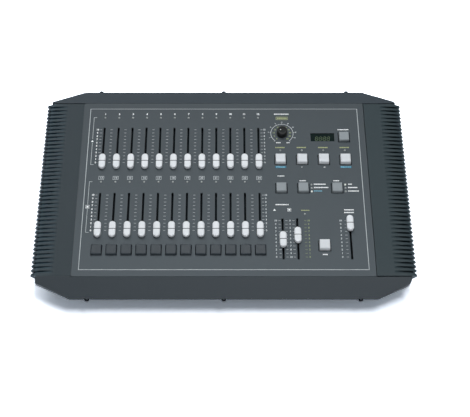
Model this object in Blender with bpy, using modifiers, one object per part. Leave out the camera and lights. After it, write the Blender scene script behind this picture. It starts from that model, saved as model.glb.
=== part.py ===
"""Two-scene lighting control console: a tilted control panel in a moulded frame with ribbed end cheeks.

Metres, +X to the operator's right, +Y to the back, +Z up, standing on Z = 0.
The panel carries its own frame, the empty panel_datum: X across, V up the slope
from the panel's front edge, H square to the panel, with H = 0 on its top face.
"""

import math

import bmesh
import bpy
from mathutils import Matrix

# Control panel, its thickness and seat. Its width and depth follow from the controls laid out on it.
PANEL_TILT_DEG = 8.0
PANEL_THICK = 0.0020
PANEL_CORNER = 0.0016
PANEL_FRONT_HEIGHT = 0.0440
SEAT_GAP = 0.0003
PANEL_EDGE_GAP = 0.0004

# Layout across the panel, from its left edge
LEFT_MARGIN = 0.0296
FADER_PITCH = 0.01905
FADER_COLUMNS = 12
MASTERS_GAP = 0.0291
MASTER_COLUMN_PITCH = 0.0290
MASTER_COLUMNS = 4
RIGHT_MARGIN = 0.0292

# Layout up the panel, from its front edge
FRONT_MARGIN = 0.0373
BUMP_TO_SCENE_B = 0.0286
FADER_TRAVEL = 0.0530
FADER_TO_LAMP_B = 0.0202
LAMP_B_TO_SCENE_A = 0.0305
FADER_TO_LAMP_A = 0.0196
REAR_MARGIN = 0.0243

# Frame round the panel. The console's width is measured over the rib tips of both cheeks.
CONSOLE_WIDTH = 0.4890
FRAME_THICK = 0.0105
FRONT_BEZEL_RUN = 0.0278
FRONT_BEZEL_DROP = 0.0085
REAR_BEZEL_RUN = 0.0238
REAR_BEZEL_DROP = 0.0063
CORNER_CUT_SHARE = 0.97
CORNER_CUT_V = 0.0200
FRONT_CORNER_ROUND = 0.0120
REAR_CORNER_ROUND = 0.0050
FRAME_EDGE_BEVEL = 0.0006
BEZEL_SKIN = 0.0022
BEZEL_HOLLOW_MARGIN = 0.0050
SEAT_LEDGE = 0.0055
LEDGE_WALL = 0.0030

# Pan-head case screws in the frame's front and rear edges
SCREW_INSET = 0.0220
SCREW_HEAD_RADIUS = 0.0030
SCREW_HEAD_HEIGHT = 0.0022
SCREW_HEAD_ROUND = 0.0007
SCREW_SINK = 0.0008
SCREW_NOTCH_RADIUS = 0.0042
SCREW_DRIVE = 0.0010

# Ribbed end cheeks
RIB_OVERHANG = 0.0070
CHEEK_SEAM = 0.0008
CHEEK_END_SEAM = 0.0008
CHEEK_SHELF_THICK = 0.0025
CHEEK_SHELF_INSET = 0.0020
CHEEK_NOSE_ROUND_X = 0.0130
CHEEK_NOSE_ROUND_H = 0.0045
CHEEK_NOSE_BOTTOM = 0.0130
CHEEK_NOSE_TOE = 0.0070
CHEEK_HOOK_GAP = 0.0006
RIB_COUNT = 43
RIB_END_MARGIN = 0.0036
RIB_FILL = 0.53
RIB_TIP_CHAMFER = 0.0014
RIB_TIP_FLARE = 0.60
GROOVE_SHARE = 0.555
GROOVE_CORE_INSET = 0.0039
GROOVE_MOUTH_DROP = 0.0060

# Base pan and feet
PAN_SIDE_MARGIN = 0.0078
PAN_FRONT_SETBACK = 0.0220
PAN_REAR_SETBACK = 0.0240
PAN_SHEET = 0.0018
FOOT_HEIGHT = 0.0060
FOOT_RADIUS = 0.0090
FOOT_TAPER = 0.0008
FOOT_INSET_X = 0.0260
FOOT_INSET_Y = 0.0240

# Slide fader caps, levers and pots. Rests are how far up its travel a cap stands.
PRESET_A_REST = 0.45
PRESET_B_REST = 0.57
GRAND_MASTER_REST = 0.90
MASTER_FADERS_BELOW_KEYS = 0.0100
CAP_LENGTH = 0.0220
CAP_WIDTH = 0.0090
CAP_HEIGHT = 0.0052
CAP_LIFT = 0.0012
CAP_EDGE_ROUND = 0.0018
CAP_DIP = 0.0009
LEVER_LENGTH = 0.0050
LEVER_THICK = 0.0012
LEVER_RUNNING_GAP = 0.0005
LEVER_REACH = 0.0028
POT_WIDTH = 0.0090
POT_END = 0.0070
POT_HEIGHT = 0.0080
POT_TROUGH_DEPTH = 0.0036

# Keys: caps that slide square to the panel on sprung key switches
KEY_STROKE = 0.0025
KEY_EDGE_GAP = 0.0004
KEY_SKIRT = 0.0016
KEY_DRAFT = 0.0004
KEY_STEM = 0.0050
KEY_STEM_GAP = 0.0004
KEY_STEM_ENGAGED = 0.0022
SWITCH_HOUSING = 0.0124
SWITCH_TOP_DEPTH = 0.0052
BUMP_KEY_WIDTH = 0.0138
BUMP_KEY_DEPTH = 0.0145
BUMP_KEY_HEIGHT = 0.0038
BUMP_KEY_ROUND = 0.0007
MASTER_KEY_SIZE = 0.0140
WHITE_KEY_HEIGHT = 0.0056
GREY_KEY_HEIGHT = 0.0043
MASTER_KEY_ROUND = 0.0014
EFFECT_KEYS_ABOVE_SCENE_A = 0.0044
MODE_KEYS_BELOW_LAMP_B = 0.0095
BLACKOUT_ABOVE_EFFECT_KEYS = 0.0363
FLASH_KEY_STEP = 0.0156
GO_KEY_STEP = 0.0239
GO_ABOVE_BUMP_KEYS = 0.0064

# Rotary fade-time knob
KNOB_STEP = 0.0031
KNOB_ABOVE_BLACKOUT = 0.0061
KNOB_RADIUS = 0.0076
KNOB_TOP_RADIUS = 0.0064
KNOB_HEIGHT = 0.0085
KNOB_LIFT = 0.0008
KNOB_TOP_ROUND = 0.0018
KNOB_RIM = 0.0008
KNOB_FLUTES = 14
KNOB_FLUTE_RADIUS = 0.0008
SHAFT_RADIUS = 0.0030
SHAFT_RUNNING_GAP = 0.0003
SHAFT_REACH = 0.0050
ROTARY_BODY = 0.0160

# Display
DISPLAY_WIDTH = 0.0316
DISPLAY_DEPTH = 0.0126
DISPLAY_EDGE_GAP = 0.0003
DISPLAY_THICK = 0.0010
DISPLAY_RECESS = 0.0010
DISPLAY_MODULE_MARGIN = 0.0010

# Indicator lamps
LAMP_RADIUS = 0.0013
LAMP_GAP = 0.0003
LAMP_PROUD = 0.0004
EFFECT_LAMP_ABOVE_KEY = 0.0149
LIST_LAMP_PITCH = 0.0052
LIST_LAMP_STEP = 0.0109
CHASE_LAMP_STEP = 0.0104
CHASE_LAMP_ABOVE_FADERS = 0.0098

# Circuit boards, which hang from the panel on their slide faders
BOARD_THICK = 0.0016
BOARD_MARGIN = 0.0070
BOARD_SPACE = 0.0030
FUSE_DEPTH = 0.0004

# Rear sockets, placed from the pan's right-hand end
SOCKET_HEIGHT = 0.0400
DATA_SOCKET_INSET = 0.0800
DATA_FLANGE_WIDTH = 0.0260
DATA_FLANGE_HEIGHT = 0.0310
DATA_FLANGE_CORNER = 0.0030
SOCKET_FLANGE_THICK = 0.0018
DATA_BARREL_RADIUS = 0.0118
DATA_BARREL_LENGTH = 0.0180
DATA_SHELL_RADIUS = 0.0097
DATA_INSERT_RADIUS = 0.0080
DATA_SHELL_DEPTH = 0.0100
DATA_PIN_COUNT = 5
DATA_PIN_CIRCLE = 0.0050
DATA_PIN_HOLE = 0.0012
POWER_SOCKET_INSET = 0.0380
POWER_NUT_RADIUS = 0.0070
POWER_BARREL_RADIUS = 0.0048
POWER_BARREL_LENGTH = 0.0120
POWER_HOLE_RADIUS = 0.0032
POWER_HOLE_DEPTH = 0.0090
POWER_PIN_RADIUS = 0.0010
SOCKET_HOLE_GAP = 0.0004

# Facet counts
ROUND_STEPS = 20
SMALL_STEPS = 12
HOLE_STEPS = 6
ARC_STEPS = 3
NOSE_STEPS = 3
CAP_ARC_STEPS = 5

# Across the panel, from its middle
PANEL_WIDTH = (
    LEFT_MARGIN
    + FADER_PITCH * (FADER_COLUMNS - 1)
    + MASTERS_GAP
    + MASTER_COLUMN_PITCH * (MASTER_COLUMNS - 1)
    + RIGHT_MARGIN
)
PANEL_HALF = PANEL_WIDTH / 2
COLUMNS = [LEFT_MARGIN - PANEL_HALF + FADER_PITCH * column for column in range(FADER_COLUMNS)]
MASTER_X = [
    COLUMNS[-1] + MASTERS_GAP + MASTER_COLUMN_PITCH * column for column in range(MASTER_COLUMNS)
]
KNOB_X = MASTER_X[0] + KNOB_STEP
DISPLAY_X = MASTER_X[2]
FLASH_X = MASTER_X[2] + FLASH_KEY_STEP
GO_X = MASTER_X[1] + GO_KEY_STEP

# Up the panel, from its front edge
BUMP_V = FRONT_MARGIN
SCENE_B_V = BUMP_V + BUMP_TO_SCENE_B
LAMP_B_V = SCENE_B_V + FADER_TRAVEL + FADER_TO_LAMP_B
SCENE_A_V = LAMP_B_V + LAMP_B_TO_SCENE_A
LAMP_A_V = SCENE_A_V + FADER_TRAVEL + FADER_TO_LAMP_A
PANEL_DEPTH = LAMP_A_V + REAR_MARGIN
MASTER_V = BUMP_V - MASTER_FADERS_BELOW_KEYS
EFFECT_V = SCENE_A_V + EFFECT_KEYS_ABOVE_SCENE_A
MODE_V = LAMP_B_V - MODE_KEYS_BELOW_LAMP_B
BLACKOUT_V = EFFECT_V + BLACKOUT_ABOVE_EFFECT_KEYS
KNOB_V = BLACKOUT_V + KNOB_ABOVE_BLACKOUT
GO_V = BUMP_V + GO_ABOVE_BUMP_KEYS
EFFECT_LAMP_V = EFFECT_V + EFFECT_LAMP_ABOVE_KEY
CHASE_LAMP_V = MASTER_V + FADER_TRAVEL + CHASE_LAMP_ABOVE_FADERS

# Frame, pan and inner levels
TILT = math.radians(PANEL_TILT_DEG)
CHEEK_TIP = CONSOLE_WIDTH / 2
CHEEK_WIDTH = CHEEK_TIP - PANEL_HALF
FRAME_HALF = CHEEK_TIP - RIB_OVERHANG
CORNER_CUT_X = (FRAME_HALF - PANEL_HALF) * CORNER_CUT_SHARE
FRONT_V = -FRONT_BEZEL_RUN
REAR_V = PANEL_DEPTH + REAR_BEZEL_RUN
SHELF_HALF = FRAME_HALF - CHEEK_SHELF_INSET
RIB_PITCH = (PANEL_DEPTH - 2 * RIB_END_MARGIN) / (RIB_COUNT - 1)
RIB_THICK = RIB_PITCH * RIB_FILL
PAN_HALF = PANEL_HALF + PAN_SIDE_MARGIN
DATA_SOCKET_X = PAN_HALF - DATA_SOCKET_INSET
POWER_SOCKET_X = PAN_HALF - POWER_SOCKET_INSET
SCREW_X = FRAME_HALF - CORNER_CUT_X - SCREW_INSET
FRONT_SCREW_H = -FRAME_THICK + SCREW_HEAD_RADIUS / 8
REAR_SCREW_H = -(FRAME_THICK + REAR_BEZEL_DROP) / 2
POT_TOP_H = -(PANEL_THICK + SEAT_GAP)
BOARD_TOP_H = POT_TOP_H - POT_HEIGHT
SLOT_LENGTH = FADER_TRAVEL + LEVER_LENGTH + 2 * LEVER_RUNNING_GAP
SLOT_WIDTH = LEVER_THICK + 2 * LEVER_RUNNING_GAP

# Fader name, column, zero of its scale, and how far above its zero it stands at rest
SCENE_A_FADERS = [(f"fader_cap_a{n + 1:02d}", x, SCENE_A_V, 0.0) for n, x in enumerate(COLUMNS)]
SCENE_B_FADERS = [(f"fader_cap_b{n + 1:02d}", x, SCENE_B_V, 0.0) for n, x in enumerate(COLUMNS)]
MASTER_FADERS = [
    ("preset_a_fader_cap", MASTER_X[0], MASTER_V, PRESET_A_REST * FADER_TRAVEL),
    ("preset_b_fader_cap", MASTER_X[0] + FADER_PITCH, MASTER_V, PRESET_B_REST * FADER_TRAVEL),
    ("grand_master_fader_cap", MASTER_X[3], MASTER_V, GRAND_MASTER_REST * FADER_TRAVEL),
]
FADERS = SCENE_A_FADERS + SCENE_B_FADERS + MASTER_FADERS

BUMP_KEYS = [(f"bump_key_{n + 1:02d}", x, BUMP_V) for n, x in enumerate(COLUMNS)]
EFFECT_KEYS = [(f"effect_key_{n + 1}", x, EFFECT_V) for n, x in enumerate(MASTER_X)]
WHITE_KEYS = EFFECT_KEYS + [("go_key", GO_X, GO_V)]
GREY_KEYS = [
    ("blackout_key", MASTER_X[3], BLACKOUT_V),
    ("hold_key", MASTER_X[0], MODE_V),
    ("mode_key", MASTER_X[1], MODE_V),
    ("flash_key", FLASH_X, MODE_V),
]
MASTER_KEYS = WHITE_KEYS + GREY_KEYS

SCENE_A_LAMPS = [(x, LAMP_A_V) for x in COLUMNS]
SCENE_B_LAMPS = [(x, LAMP_B_V) for x in COLUMNS]
LIST_LAMPS = [
    (x + LIST_LAMP_STEP, MODE_V + LIST_LAMP_PITCH * step)
    for x in (MASTER_X[1], FLASH_X)
    for step in (-1, 0, 1)
]
MASTER_LAMPS = (
    [(x, EFFECT_LAMP_V) for x in MASTER_X]
    + LIST_LAMPS
    + [(MASTER_X[0] + FADER_PITCH + CHASE_LAMP_STEP, CHASE_LAMP_V)]
)


def clear_scene():
    for obj in list(bpy.data.objects):
        bpy.data.objects.remove(obj, do_unlink=True)


def new_collection(name):
    collection = bpy.data.collections.new(name)
    bpy.context.scene.collection.children.link(collection)
    return collection


def new_material(name, colour, roughness, metallic=0.0):
    material = bpy.data.materials.new(name)
    material.use_nodes = True
    shader = material.node_tree.nodes["Principled BSDF"]
    shader.inputs["Base Color"].default_value = (*colour, 1.0)
    shader.inputs["Roughness"].default_value = roughness
    shader.inputs["Metallic"].default_value = metallic
    return material


def add_piece(name, mesh, material):
    """A visible piece, in the object's own collection."""
    mesh.materials.clear()
    mesh.materials.append(material)
    piece = bpy.data.objects.new(name, mesh)
    CONSOLE.objects.link(piece)
    return piece


def add_helper(name, mesh):
    """A cutter, or a body that a Boolean joins to a piece."""
    helper = bpy.data.objects.new(name, mesh)
    helper.hide_render = True
    helper.display_type = "WIRE"
    CUTTERS.objects.link(helper)
    return helper


def on_panel(obj, x=0.0, v=0.0, h=0.0):
    """Places an object in the panel's frame."""
    obj.parent = DATUM
    obj.location = (x, v, h)
    return obj


def combine(piece, helper, operation):
    boolean = piece.modifiers.new(f"{operation.lower()} {helper.name}", "BOOLEAN")
    boolean.operation = operation
    boolean.solver = "EXACT"
    boolean.object = helper


def evaluated_mesh(obj):
    """The object's mesh with its modifiers, in its own coordinates."""
    bpy.context.view_layer.update()
    graph = bpy.context.evaluated_depsgraph_get()
    return bpy.data.meshes.new_from_object(obj.evaluated_get(graph))


def tidy(mesh):
    """Merges coincident points and turns the faces outwards."""
    bm = bmesh.new()
    bm.from_mesh(mesh)
    bmesh.ops.remove_doubles(bm, verts=bm.verts, dist=1e-6)
    bmesh.ops.recalc_face_normals(bm, faces=bm.faces)
    bm.to_mesh(mesh)
    bm.free()
    return mesh


def extruded(outlines, low, high):
    """A prism between low and high on Z. An outline inside another one is a hole in it."""
    curve = bpy.data.curves.new("outline", "CURVE")
    curve.dimensions = "2D"
    curve.fill_mode = "BOTH"
    curve.extrude = (high - low) / 2
    for outline in outlines:
        spline = curve.splines.new("POLY")
        spline.points.add(len(outline) - 1)
        for point, (x, y) in zip(spline.points, outline):
            point.co = (x, y, 0.0, 1.0)
        spline.use_cyclic_u = True
    obj = bpy.data.objects.new("outline", curve)
    CUTTERS.objects.link(obj)
    mesh = evaluated_mesh(obj)
    bpy.data.objects.remove(obj)
    bpy.data.curves.remove(curve)
    mesh.transform(Matrix.Translation((0.0, 0.0, (low + high) / 2)))
    return tidy(mesh)


def along_x(mesh):
    """Turns a prism of (V, H) points on Z into one along X."""
    mesh.transform(Matrix(((0, 0, 1, 0), (1, 0, 0, 0), (0, 1, 0, 0), (0, 0, 0, 1))))
    return mesh


def along_v(mesh):
    """Turns a prism of (X, H) points on Z into one along V, which then runs towards the front."""
    mesh.transform(Matrix.Rotation(math.radians(90), 4, "X"))
    return mesh


def merged(meshes):
    """One mesh of several bodies that stand clear of each other."""
    bm = bmesh.new()
    for mesh in meshes:
        bm.from_mesh(mesh)
    whole = bpy.data.meshes.new("merged")
    bm.to_mesh(whole)
    bm.free()
    return whole


def block(x, y, z):
    """A box from three (low, high) pairs."""
    bm = bmesh.new()
    bmesh.ops.create_cube(bm, size=1.0)
    size = [high - low for low, high in (x, y, z)]
    middle = [(high + low) / 2 for low, high in (x, y, z)]
    bmesh.ops.scale(bm, vec=size, verts=bm.verts)
    bmesh.ops.translate(bm, vec=middle, verts=bm.verts)
    mesh = bpy.data.meshes.new("block")
    bm.to_mesh(mesh)
    bm.free()
    return mesh


def round_bar(low_radius, high_radius, low, high, steps):
    """A cylinder or cone on Z."""
    bm = bmesh.new()
    bmesh.ops.create_cone(
        bm,
        cap_ends=True,
        segments=steps,
        radius1=low_radius,
        radius2=high_radius,
        depth=high - low,
        matrix=Matrix.Translation((0.0, 0.0, (low + high) / 2)),
    )
    mesh = bpy.data.meshes.new("round bar")
    bm.to_mesh(mesh)
    bm.free()
    return mesh


def add_profile(bm, profile):
    """A line of edges through (radius, z) points, from the top down the outer side."""
    points = [bm.verts.new((radius, 0.0, z)) for radius, z in profile]
    for first, second in zip(points, points[1:]):
        bm.edges.new((first, second))


def turn_profile(obj, steps):
    screw = obj.modifiers.new("turned", "SCREW")
    screw.steps = steps
    screw.render_steps = steps
    screw.use_merge_vertices = True
    screw.merge_threshold = 1e-5


def turned(profile, steps):
    """A body turned on Z, as a mesh that can be placed, cut or joined."""
    mesh = bpy.data.meshes.new("profile")
    bm = bmesh.new()
    add_profile(bm, profile)
    bm.to_mesh(mesh)
    bm.free()
    obj = add_helper("turning", mesh)
    turn_profile(obj, steps)
    body = evaluated_mesh(obj)
    bpy.data.objects.remove(obj)
    return tidy(body)


def moved(mesh, x=0.0, y=0.0, z=0.0):
    mesh.transform(Matrix.Translation((x, y, z)))
    return mesh


def rectangle(x, y, width, depth):
    return [
        (x - width / 2, y - depth / 2),
        (x + width / 2, y - depth / 2),
        (x + width / 2, y + depth / 2),
        (x - width / 2, y + depth / 2),
    ]


def circle(x, y, radius, steps):
    turn = 2 * math.pi / steps
    return [
        (x + radius * math.cos(turn * step), y + radius * math.sin(turn * step))
        for step in range(steps)
    ]


def stadium(x, y, length, width, steps):
    """A slot along Y with round ends, each end an arc of this many steps."""
    straight = (length - width) / 2
    points = []
    for side in (1, -1):
        for step in range(steps + 1):
            angle = math.pi * step / steps
            points.append(
                (
                    x + side * width / 2 * math.cos(angle),
                    y + side * (straight + width / 2 * math.sin(angle)),
                )
            )
    return points


def rounded(points, radius, steps=ARC_STEPS):
    """Replaces each corner of a convex outline that has a radius by an arc."""
    rounded_points = []
    count = len(points)
    for index, (x, y) in enumerate(points):
        if not radius[index]:
            rounded_points.append((x, y))
            continue
        before = points[index - 1]
        after = points[(index + 1) % count]
        to_before = math.atan2(before[1] - y, before[0] - x)
        to_after = math.atan2(after[1] - y, after[0] - x)
        half = abs(math.remainder(to_after - to_before, 2 * math.pi)) / 2
        middle = to_before + math.remainder(to_after - to_before, 2 * math.pi) / 2
        reach = radius[index] / math.sin(half)
        centre_x = x + reach * math.cos(middle)
        centre_y = y + reach * math.sin(middle)
        sweep = math.copysign(math.pi - 2 * half, -math.remainder(to_after - to_before, 2 * math.pi))
        for step in range(steps + 1):
            angle = middle + math.pi + sweep * (step / steps - 0.5)
            rounded_points.append(
                (
                    centre_x + radius[index] * math.cos(angle),
                    centre_y + radius[index] * math.sin(angle),
                )
            )
    return rounded_points


def smooth(piece, angle_deg=35.0):
    piece.data.shade_smooth()
    piece.data.set_sharp_from_angle(angle=math.radians(angle_deg))


def make_datum():
    """The panel's frame, set so that the whole object stands centred on the origin."""
    front_v = FRONT_V - SCREW_HEAD_HEIGHT + SCREW_SINK
    rear_v = REAR_V + SCREW_HEAD_HEIGHT
    face = SCREW_HEAD_RADIUS - SCREW_HEAD_ROUND
    front = front_v * math.cos(TILT) - (FRONT_SCREW_H + face) * math.sin(TILT)
    rear = rear_v * math.cos(TILT) - (REAR_SCREW_H - face) * math.sin(TILT)
    datum = bpy.data.objects.new("panel_datum", None)
    datum.location = (0.0, -(front + rear) / 2, PANEL_FRONT_HEIGHT)
    datum.rotation_euler = (TILT, 0.0, 0.0)
    CONSOLE.objects.link(datum)
    return datum


def panel_to_world(v, h):
    """World Y and Z of a point in the panel's frame."""
    y = DATUM.location.y + v * math.cos(TILT) - h * math.sin(TILT)
    z = DATUM.location.z + v * math.sin(TILT) + h * math.cos(TILT)
    return y, z


def fader_slot(x, zero_v):
    return rectangle(x, zero_v + FADER_TRAVEL / 2, SLOT_WIDTH, SLOT_LENGTH)


def make_control_panel():
    """A metal plate with every slot, key opening, lamp hole and the display opening."""
    plate = rectangle(0.0, PANEL_DEPTH / 2, PANEL_WIDTH, PANEL_DEPTH)
    outlines = [rounded(plate, [PANEL_CORNER] * 4)]
    outlines += [fader_slot(x, zero_v) for _, x, zero_v, _ in FADERS]
    for _, x, v in BUMP_KEYS:
        outlines.append(
            rectangle(x, v, BUMP_KEY_WIDTH + 2 * KEY_EDGE_GAP, BUMP_KEY_DEPTH + 2 * KEY_EDGE_GAP)
        )
    opening = MASTER_KEY_SIZE + 2 * KEY_EDGE_GAP
    for _, x, v in MASTER_KEYS:
        outlines.append(rectangle(x, v, opening, opening))
    for x, v in SCENE_A_LAMPS + SCENE_B_LAMPS + MASTER_LAMPS:
        outlines.append(circle(x, v, LAMP_RADIUS + LAMP_GAP, HOLE_STEPS))
    outlines.append(circle(KNOB_X, KNOB_V, SHAFT_RADIUS + SHAFT_RUNNING_GAP, SMALL_STEPS))
    outlines.append(
        rectangle(
            DISPLAY_X,
            BLACKOUT_V,
            DISPLAY_WIDTH + 2 * DISPLAY_EDGE_GAP,
            DISPLAY_DEPTH + 2 * DISPLAY_EDGE_GAP,
        )
    )
    mesh = extruded(outlines, -PANEL_THICK, 0.0)
    return on_panel(add_piece("control_panel", mesh, PANEL_PAINT))


def frame_outline():
    """The frame in plan: a rectangle with cut corners, round where they meet the sides."""
    half = FRAME_HALF
    points = [
        (-half + CORNER_CUT_X, FRONT_V),
        (half - CORNER_CUT_X, FRONT_V),
        (half, FRONT_V + CORNER_CUT_V),
        (half, REAR_V - CORNER_CUT_V),
        (half - CORNER_CUT_X, REAR_V),
        (-half + CORNER_CUT_X, REAR_V),
        (-half, REAR_V - CORNER_CUT_V),
        (-half, FRONT_V + CORNER_CUT_V),
    ]
    radius = [0.0, 0.0, FRONT_CORNER_ROUND, REAR_CORNER_ROUND]
    return rounded(points, radius + radius[::-1])


def bezel_hollow(edge_v, inner_v, drop, run):
    """The hollow under one bezel, as (V, H) points: it follows the bezel's slope, a skin below it."""
    towards = math.copysign(1.0, edge_v - inner_v)
    outer = edge_v - towards * BEZEL_HOLLOW_MARGIN
    inner = inner_v + towards * (LEDGE_WALL + PANEL_EDGE_GAP)
    slope = drop / run
    below = -FRAME_THICK * 1.5

    def roof(v):
        return -slope * abs(v - inner_v) - BEZEL_SKIN

    return [(outer, below), (outer, roof(outer)), (inner, roof(inner)), (inner, below)]


def facing_out(mesh, x, edge_v, h, outwards):
    """Turns a body modelled on Z to stand on the frame's front (-1) or rear (1) edge."""
    mesh.transform(Matrix.Rotation(math.radians(-90 * outwards), 4, "X"))
    return moved(mesh, x, edge_v, h)


def case_screws():
    """The notches in the frame's front edge, and pan heads with their drive slots in both edges."""
    head_profile = [
        (0.0, SCREW_HEAD_HEIGHT),
        (SCREW_HEAD_RADIUS - SCREW_HEAD_ROUND, SCREW_HEAD_HEIGHT),
        (SCREW_HEAD_RADIUS, SCREW_HEAD_HEIGHT - SCREW_HEAD_ROUND),
        (SCREW_HEAD_RADIUS, -FUSE_DEPTH),
        (0.0, -FUSE_DEPTH),
    ]
    notches = []
    heads = []
    drives = []
    for x in (-SCREW_X, 0.0, SCREW_X):
        for edge_v, h, outwards, sink in (
            (FRONT_V, FRONT_SCREW_H, -1, SCREW_SINK),
            (REAR_V, REAR_SCREW_H, 1, 0.0),
        ):
            seat_v = edge_v - outwards * sink
            head = turned(head_profile, SMALL_STEPS)
            heads.append(facing_out(head, x, seat_v, h, outwards))
            drive = block(
                (-SCREW_HEAD_RADIUS / 2, SCREW_HEAD_RADIUS / 2),
                (-SCREW_DRIVE / 2, SCREW_DRIVE / 2),
                (SCREW_HEAD_HEIGHT - SCREW_DRIVE, 2 * SCREW_HEAD_HEIGHT),
            )
            drives.append(facing_out(drive, x, seat_v, h, outwards))
        notch = round_bar(
            SCREW_NOTCH_RADIUS,
            SCREW_NOTCH_RADIUS,
            -SCREW_SINK,
            SCREW_HEAD_HEIGHT,
            SMALL_STEPS,
        )
        notches.append(facing_out(notch, x, FRONT_V, FRONT_SCREW_H, -1))
    return merged(notches), merged(heads), merged(drives)


def make_top_cover():
    """The moulded frame: sloping bezels, a ledge for the panel and a shelf for each cheek."""
    profile = [
        (FRONT_V, -FRAME_THICK),
        (REAR_V, -FRAME_THICK),
        (REAR_V, -REAR_BEZEL_DROP),
        (PANEL_DEPTH, 0.0),
        (0.0, 0.0),
        (FRONT_V, -FRONT_BEZEL_DROP),
    ]
    beyond = CHEEK_TIP + CHEEK_WIDTH
    wedge = along_x(extruded([profile], -beyond, beyond))
    cover = on_panel(add_piece("top_cover", wedge, FRAME_PLASTIC))
    outline = on_panel(
        add_helper("frame_outline", extruded([frame_outline()], -2 * FRAME_THICK, FRAME_THICK))
    )
    combine(cover, outline, "INTERSECT")
    bevel = cover.modifiers.new("edges", "BEVEL")
    bevel.width = FRAME_EDGE_BEVEL
    bevel.segments = 2
    bevel.limit_method = "ANGLE"
    bevel.angle_limit = math.radians(40)

    seat_x = PANEL_HALF + PANEL_EDGE_GAP
    aperture_x = PANEL_HALF - SEAT_LEDGE
    seat_h = -(PANEL_THICK + SEAT_GAP)
    above = FRAME_THICK
    shelf_h = -FRAME_THICK + CHEEK_SHELF_THICK
    section = [
        (seat_x, seat_h),
        (seat_x, shelf_h),
        (SHELF_HALF, shelf_h),
        (SHELF_HALF, -3 * FRAME_THICK),
        (beyond, -3 * FRAME_THICK),
        (beyond, above),
    ]
    section += [(-x, h) for x, h in reversed(section)]
    seats = along_v(extruded([section], -PANEL_DEPTH - PANEL_EDGE_GAP, PANEL_EDGE_GAP))
    combine(cover, on_panel(add_helper("panel_and_cheek_seats", seats)), "DIFFERENCE")
    aperture = block(
        (-aperture_x, aperture_x),
        (SEAT_LEDGE, PANEL_DEPTH - SEAT_LEDGE),
        (-2 * FRAME_THICK, 2 * above),
    )
    combine(cover, on_panel(add_helper("panel_aperture", aperture)), "DIFFERENCE")
    hollow_half = FRAME_HALF - CORNER_CUT_X - BEZEL_HOLLOW_MARGIN
    front = bezel_hollow(FRONT_V, 0.0, FRONT_BEZEL_DROP, FRONT_BEZEL_RUN)
    rear = bezel_hollow(REAR_V, PANEL_DEPTH, REAR_BEZEL_DROP, REAR_BEZEL_RUN)
    hollows = merged(
        [along_x(extruded([outline], -hollow_half, hollow_half)) for outline in (front, rear)]
    )
    combine(cover, on_panel(add_helper("bezel_hollows", hollows)), "DIFFERENCE")
    notches, heads, drives = case_screws()
    combine(cover, on_panel(add_helper("screw_notches", notches)), "DIFFERENCE")
    combine(cover, on_panel(add_helper("screw_heads", heads)), "UNION")
    combine(cover, on_panel(add_helper("screw_drives", drives)), "DIFFERENCE")
    return cover


def cheek_profile():
    """The right cheek's section as (X, H) points: flat on top, a blunt nose that hooks down outside."""
    inner = PANEL_HALF + CHEEK_SEAM
    floor = -FRAME_THICK + CHEEK_SHELF_THICK + SEAT_GAP
    hook = SHELF_HALF + CHEEK_HOOK_GAP
    nose_x = CHEEK_TIP - CHEEK_NOSE_ROUND_X
    points = [(inner, floor), (inner, 0.0)]
    for step in range(NOSE_STEPS + 1):
        angle = math.pi / 2 * (1 - step / NOSE_STEPS)
        points.append(
            (
                nose_x + CHEEK_NOSE_ROUND_X * math.cos(angle),
                -CHEEK_NOSE_ROUND_H * (1 - math.sin(angle)),
            )
        )
    points.append((CHEEK_TIP - CHEEK_NOSE_TOE * 0.15, -CHEEK_NOSE_ROUND_H * 1.5))
    points.append((CHEEK_TIP - CHEEK_NOSE_TOE, -CHEEK_NOSE_BOTTOM))
    points.append((hook, -CHEEK_NOSE_BOTTOM))
    points.append((hook, floor))
    return points


def groove_cutter():
    """One groove between two ribs. Its floor slopes down outwards, and its mouth is flared."""
    start = CHEEK_TIP - CHEEK_WIDTH * GROOVE_SHARE
    core = CHEEK_TIP - GROOVE_CORE_INSET
    flare = CHEEK_TIP - RIB_TIP_CHAMFER
    outside = CHEEK_TIP + RIB_TIP_CHAMFER / 4
    above = FRAME_THICK / 10
    below = -CHEEK_NOSE_BOTTOM - above
    profile = [
        (start - above * (core - start) / GROOVE_MOUTH_DROP, above),
        (core, -GROOVE_MOUTH_DROP),
        (core - (CHEEK_NOSE_TOE - GROOVE_CORE_INSET), below),
        (flare, below),
        (outside, below),
        (outside, above),
        (flare, above),
    ]
    width = RIB_PITCH - RIB_THICK
    mesh = along_v(extruded([profile], -width / 2, width / 2))
    for vertex in mesh.vertices:
        beyond = max(0.0, vertex.co.x - flare)
        vertex.co.y += math.copysign(beyond * RIB_TIP_FLARE, vertex.co.y)
    return mesh


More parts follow.
